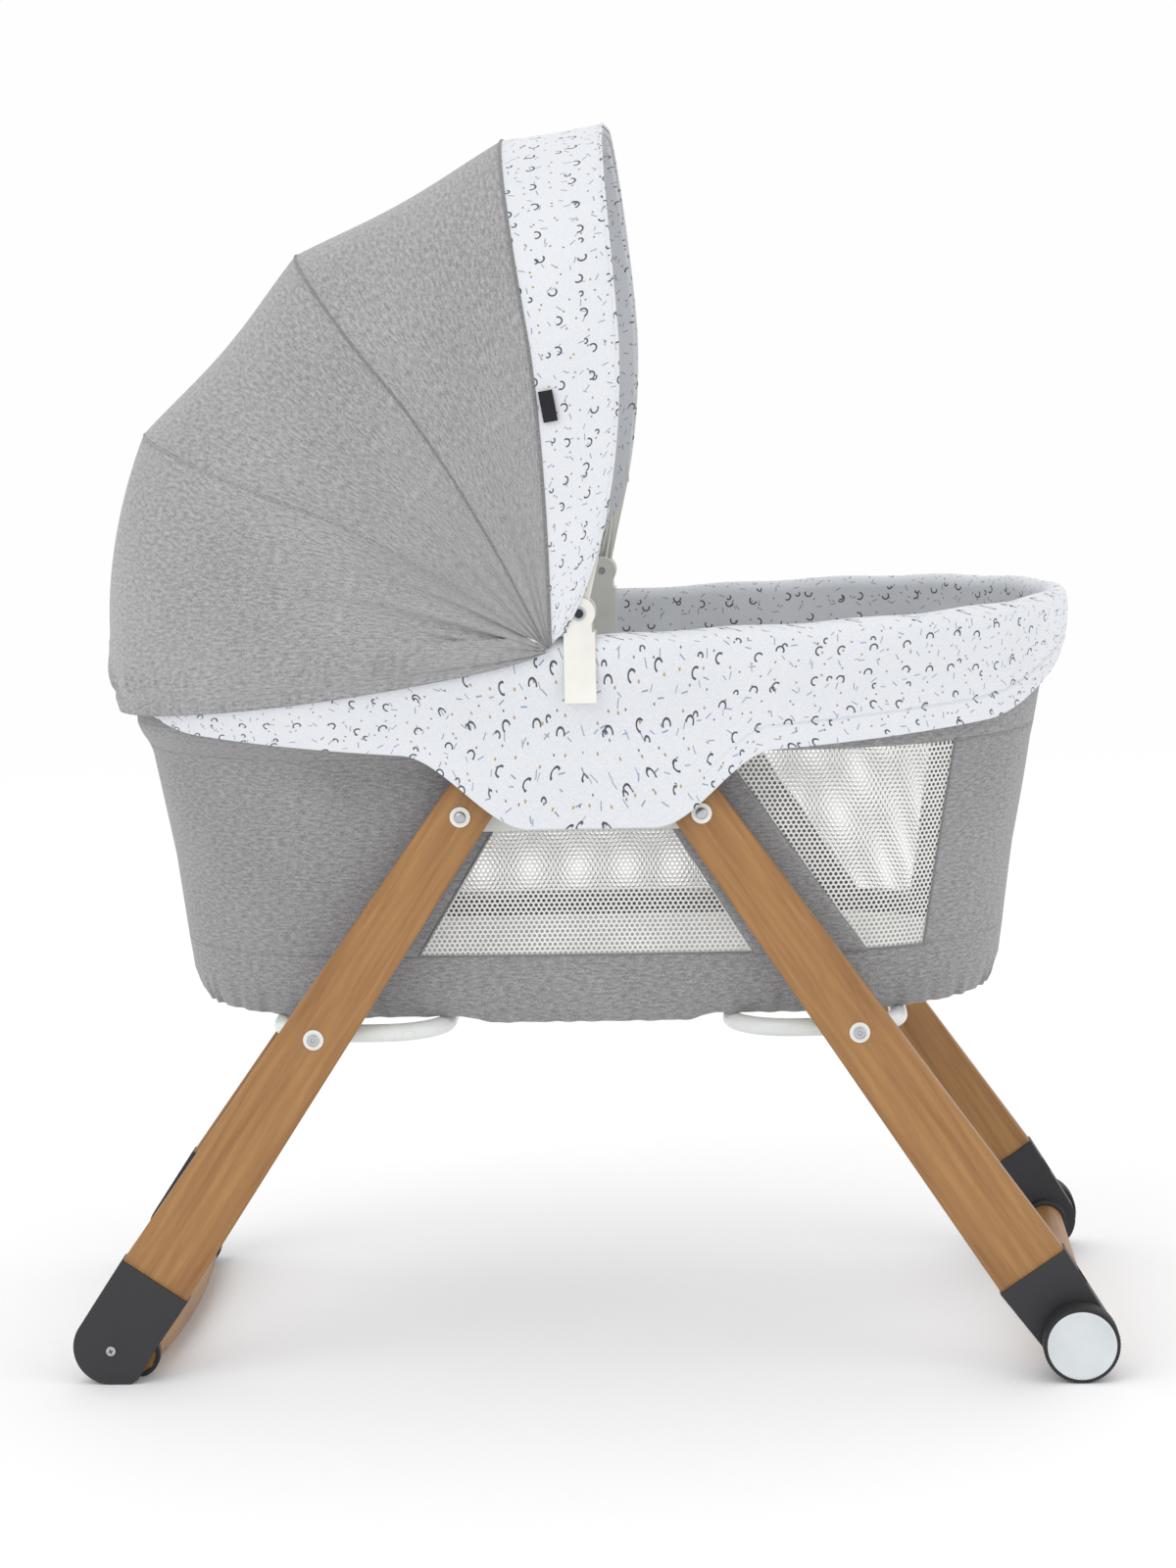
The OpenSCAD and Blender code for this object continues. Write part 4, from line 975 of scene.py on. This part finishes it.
ivory = moulded("ivory_moulding", srgb(229, 228, 221), 0.4, 0.00003, 2200.0)
hoop_steel = moulded("hoop_steel", srgb(150, 152, 155), 0.35, 0.00002, 1200.0, Metallic=1.0)
for side_name, side in (("near", -1), ("far", 1)):
    softened("hood_clip_" + side_name, "stand", ivory, "ivory_plastic", 0.0009)
    softened("hood_arm_" + side_name, "hood_lead", ivory, "ivory_plastic", 0.0007)
pin_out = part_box("pivot_screws")[1].y
pivots = []
for side in (-1, 1):
    disc = turned(f"pivot_{side}", [(0.003, 0.2338), (0.003, pin_out - 0.0014), (0.0062, pin_out - 0.0014),
                                    (0.0062, pin_out - 0.0006), (0.0056, pin_out), (0.0043, pin_out),
                                    (0.0038, pin_out - 0.0008), (0.0002, pin_out - 0.0008)],
                  (hub.x, hub.z), side, 48)
    disc.data.materials.append(zinc)
    ring = turned(f"pivot_ring_{side}", [(0.0037, pin_out - 0.0012), (0.0037, pin_out - 0.0006),
                                         (0.0002, pin_out - 0.0006)], (hub.x, hub.z), side, 48)
    ring.data.materials.append(dark_recess)
    pivots += [disc, ring]
settle(join("pivot_screw_heads", pivots), "stand", None, "zinc", "pivot_screws")
for node in ("rear_rib", "middle_rib", "front_rib", "lead_hoop"):
    settle(frame["nodes"][node], None, hoop_steel, "hoop_wire")

# ---------------------------------------------------------------- hood
# Cloth stretched over four hoops: a printed band at the front, three panels of heather canvas, and an
# elastic hem round the head end of the rim. The panels are sewn at the hoops and meet at the clips.

HOOD_ROOT = np.array([-0.028, -0.031])
ROOT_Y, HOOD_BEND, HOOD_T, COLUMNS = 0.2668, 0.190, 0.0013, 420
WIRE_R, HOOD_CLEAR = 0.0023, 0.0021
WIRE_OUT = WIRE_R + HOOD_CLEAR
FLARE_REACH = 0.10
lead_y, front_y, middle_y, rear_y = (
    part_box(node)[1].y - WIRE_R for node in ("lead_hoop", "front_rib", "middle_rib", "rear_rib"))
LEAD, FRONT, MIDDLE, REAR = (
    (radians(2.9), lead_y, 0.4240), (radians(-9.5), front_y, 0.4165),
    (radians(-39.5), middle_y, 0.4055), (radians(-68.9), rear_y, 0.4310))
BRIM_ANGLE, BRIM_Y, BRIM_REACH, MIDDLE_ARCH_AT = radians(-91.0), 0.2642, 0.4490, 0.36


def arch_line(half_w, reach, bend):
    """(Y, distance out from the pivots) along an arch, evenly spaced: up one side, round a quarter circle,
    across the top, round the other and down."""
    side, corner, top = reach - bend, bend * pi / 2, 2 * (half_w - bend)
    total = 2 * (side + corner) + top
    s = np.linspace(0, total, COLUMNS)
    half = np.minimum(s, total - s)
    turn = np.clip((half - side) / bend, 0, pi / 2)
    over = np.maximum(0, half - side - corner)
    y = -half_w + bend * (1 - np.cos(turn)) + over
    out = np.minimum(half, side) + bend * np.sin(turn)
    return np.where(s <= total / 2, y, -y), out


def arch(angle, half_w, reach, bend, root, forward=0.0):
    """An arch in space. Near its feet it leaves the hub's own line for the root where the cloth is sewn
    down, and it stands a little proud of the clip there. forward bows its sides towards the foot end."""
    y, out = arch_line(half_w, reach, bend)
    share = out / reach
    x = hub.x + out * sin(angle) + forward * np.sin(pi * np.clip(share, 0, 1) ** 0.62)
    z = hub.z + out * cos(angle)
    near = np.clip(1 - out / 0.24, 0, 1) ** 1.5
    flare = np.clip(1 - out / FLARE_REACH, 0, 1) ** 1.2
    y = np.sign(y) * (np.abs(y) + flare * (ROOT_Y - half_w))
    return np.stack([x + root[0] * near, y, z + root[1] * near], -1)


def hoop_arch(hoop, root, forward=0.0):
    """The arch of cloth over one of the wire hoops."""
    angle, wire_y, reach = hoop
    return arch(angle, wire_y + WIRE_OUT + HOOD_T, reach, HOOD_BEND + WIRE_OUT, root, forward)


def hem_line():
    """The elastic hem: it follows the cover's outer face round the head end, and falls from the root
    towards the head, quickly at first."""
    root_x = hub.x + HOOD_ROOT[0]
    straight = root_x + RIM_STRAIGHT
    total = 2 * straight + pi * COVER_OUT
    s = np.linspace(0, total, COLUMNS)
    half = np.minimum(s, total - s)
    turn = np.clip((half - straight) / COVER_OUT, 0, pi / 2)
    core = root_x - np.minimum(half, straight)
    x = core - COVER_OUT * np.sin(turn)
    fall = np.clip((root_x - x) / (root_x + COVER_END), 0, 1)
    z = hub.z + HOOD_ROOT[1] - 0.069 * fall ** 0.65
    h = z - RIM_Z - x * sin(RIM_TILT)
    radius = np.maximum(flap_radius(np.minimum(h, 0)), 0.240) + 0.0024
    flare = np.clip(1 - half / FLARE_REACH, 0, 1) ** 1.2
    y = -(radius * np.cos(turn) + flare * (ROOT_Y - radius))
    return np.stack([core - radius * np.sin(turn), np.where(s <= total / 2, y, -y), z], -1)


def off_cover(grid):
    """Keeps cloth outside the cover: below the rim's top, a point's distance from the rim's middle line is
    at least the flap's own, and a little more."""
    core = np.clip(grid[..., 0], -RIM_STRAIGHT, RIM_STRAIGHT)
    away = np.stack([grid[..., 0] - core, grid[..., 1]], -1)
    distance = np.linalg.norm(away, axis=-1)
    h = grid[..., 2] - RIM_Z - grid[..., 0] * sin(RIM_TILT)
    need = np.where(h < 0.014, flap_radius(np.minimum(h, 0)) + HOOD_T + 0.0007, 0)
    scale = np.maximum(1, need / np.maximum(distance, 1e-6))
    grid[..., 0] = core + away[..., 0] * scale
    grid[..., 1] = away[..., 1] * scale
    return grid


def stretched_cloth(sections, rows, sag, creases=()):
    """Cloth between arches. Rows go from the first arch to the last; two arches give straight chords, and
    three a parabola through them. It sags inwards by sag between seams, and each crease (place, slope,
    width, depth) is a soft valley that runs from the root up each side."""
    share = np.linspace(0, 1, rows)[:, None, None]
    if len(sections) == 2:
        grid = sections[0] * (1 - share) + sections[1] * share
    else:
        m = MIDDLE_ARCH_AT
        grid = (sections[0] * (share - m) * (share - 1) / m
                + sections[1] * share * (share - 1) / (m * (m - 1))
                + sections[2] * share * (share - m) / (1 - m))
    inward = np.array([hub.x, 0, hub.z]) - grid
    inward[..., 1] *= 0.5
    inward /= np.linalg.norm(inward, axis=2, keepdims=True)
    t = np.linspace(0, 1, COLUMNS)[None, :]
    g = np.linspace(0, 1, rows)[:, None]
    up_side = np.minimum(t, 1 - t) * 2
    depth = sag * np.sin(pi * g) * np.sin(pi * np.clip(t, 0, 1)) ** 0.7
    for place, slope, width, deep in creases:
        ridge = np.exp(-((g - place - slope * up_side) / width) ** 2)
        depth = depth + deep * ridge * np.exp(-((up_side - 0.22) / 0.24) ** 2)
    depth = depth * np.sin(pi * np.clip(g, 0, 1)) ** 0.5
    return grid + inward * depth[..., None]


def fold_between(piece):
    """Writes a panel's placement into its mesh and leaves its transform as the identity."""
    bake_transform(piece)
    return piece


LEAD_ROOT = np.array([-0.022, -0.021])
lead_arch = hoop_arch(LEAD, LEAD_ROOT, 0.032)
front_arch = hoop_arch(FRONT, HOOD_ROOT * 0.9)
middle_arch = hoop_arch(MIDDLE, HOOD_ROOT)
rear_arch = hoop_arch(REAR, HOOD_ROOT)
brim_arch = arch(BRIM_ANGLE, BRIM_Y, BRIM_REACH, BRIM_Y - 0.001, HOOD_ROOT)
hem_arch = hem_line()


def inside_of(arch_points, gap):
    """The same arch, a gap further in: each point moves towards the pivots' line and the middle."""
    inward = np.array([hub.x, 0, hub.z]) - arch_points
    inward /= np.linalg.norm(inward, axis=1, keepdims=True)
    moved = arch_points + inward * gap * np.array([1, 0, 1])
    moved[:, 1] -= np.sign(moved[:, 1]) * np.minimum(gap, np.abs(moved[:, 1]))
    return moved


ROWS = 70
panels = (
    ("hood_cloth_rear", [hem_arch, brim_arch, rear_arch], "stand", "hood_rear", "hood_rear_panel", heather, 0.002,
     [(0.34, 0.35, 0.05, 0.010), (0.60, 0.2, 0.06, 0.007), (0.18, 0.6, 0.045, 0.008)]),
    ("hood_cloth_middle", [rear_arch, middle_arch], "hood_rear", "hood_middle", "hood_middle_panel", heather, 0.006,
     [(0.3, 0.2, 0.06, 0.003), (0.7, -0.2, 0.07, 0.003)]),
    ("hood_cloth_front", [middle_arch, front_arch], "hood_middle", "hood_front", "hood_front_panel", heather, 0.005,
     [(0.35, 0.1, 0.06, 0.003), (0.6, -0.1, 0.05, 0.002)]),
    ("hood_band_cloth", [front_arch, lead_arch], "hood_front", "hood_lead", "hood_band", cotton, 0.001, []),
)
for name, sections, body_a, body_b, node, material, sag, creases in panels:
    grid = stretched_cloth(sections, ROWS, sag, creases)
    if node == "hood_rear_panel":
        g = np.linspace(0, 1, ROWS)[:, None]
        way = np.linspace(0, 1.25, COLUMNS)[None, :]
        gather = np.sin(way * 330 + 3 * np.sin(way * 37)) + 0.6 * np.sin(way * 521)
        pleats = (0.0014 + 0.0026 * np.maximum(0, gather)) * np.exp(-((g - 0.13) / 0.09) ** 2)
        casing = (0.0010 * (1.3 + np.sin(way * 640 + 2 * np.sin(way * 53)))
                  * (1 - soft_step((g - 0.05) / 0.02)))
        stitch = -0.0018 * np.exp(-((g - 0.066) / 0.012) ** 2)
        outward = grid - np.array([-RIM_STRAIGHT, 0, 0])
        outward[..., 2] = 0
        outward /= np.linalg.norm(outward, axis=2, keepdims=True)
        grid = off_cover(grid + outward * (pleats + casing + stitch)[..., None])
    piece = surface(name, grid)
    thicken(piece, HOOD_T)
    slot_name = "printed_cotton" if material == cotton else "heather_cloth"
    settle(piece, None, material, slot_name, node)
    if material == heather:
        piece.data.materials.append(cotton)
        piece.modifiers["cloth_thickness"].material_offset = 1
    declare_sheet(piece)
    fold_between(piece)

FACING_GAP, FACING_FROM, FACING_ROWS = 0.0085, 0.040, 30
facing_lines = [inside_of(front_arch, FACING_GAP), inside_of(lead_arch, FACING_GAP * 0.9)]
facing_grid = stretched_cloth(facing_lines, FACING_ROWS, -0.0005)
clear_of_hub = np.linalg.norm(lead_arch[:, [0, 2]] - [hub.x, hub.z], axis=1) > FACING_FROM
facing_grid = facing_grid[:, clear_of_hub]
facing = surface("hood_band_facing", facing_grid)
thicken(facing, 0.0006)
settle(facing, None, cotton, "printed_cotton")
declare_sheet(facing)
fold_between(facing)

for name, line, body, radius, material, slot_name in (
    ("front_seam_binding", front_arch, "hood_front", 0.0016, heather_dark, "heather_cloth"),
    ("middle_seam_piping", middle_arch, "hood_middle", 0.0011, heather_dark, "heather_cloth"),
    ("rear_seam_piping", rear_arch, "hood_rear", 0.0007, heather, "heather_cloth"),
    ("band_edge_roll", lead_arch, "hood_lead", 0.0014, cotton, "printed_cotton"),
):
    piping(name, line, radius, material, body, slot_name)

# ---------------------------------------------------------------- ribbon label
# A short blank black ribbon folded double and caught in the front seam on the near side.

tag_low, tag_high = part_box("side_tag")
ribbon = cloth("black_ribbon", srgb(52, 52, 55), srgb(30, 30, 33), 2600.0, 0.2, 0.0001, 0.1)
TAG_W, TAG_H = 0.013, 0.027
tag_turn = FRONT[0]
tag_mid = (tag_low + tag_high) / 2
fold = np.linspace(0, 1, 24)
out_from_seam = (TAG_W * (1 - np.abs(2 * fold - 1)))[None, :]
up_seam = np.linspace(-TAG_H / 2, TAG_H / 2, 18)[:, None]
seam_x = tag_mid.x - TAG_W / 2
tag_x = seam_x + out_from_seam * cos(tag_turn) + up_seam * sin(tag_turn)
tag_z = tag_mid.z - out_from_seam * sin(tag_turn) + up_seam * cos(tag_turn)
tag_y = tag_low.y - 0.0006 * np.sin(pi * fold) + np.where(fold < 0.5, 0, 0.0005)
tag_grid = np.stack([tag_x, np.broadcast_to(tag_y[None, :], tag_x.shape), tag_z], -1)
tag = surface("blank_ribbon_label", tag_grid)
thicken(tag, 0.0003)
settle(tag, "hood_front", ribbon, "tag", "side_tag")
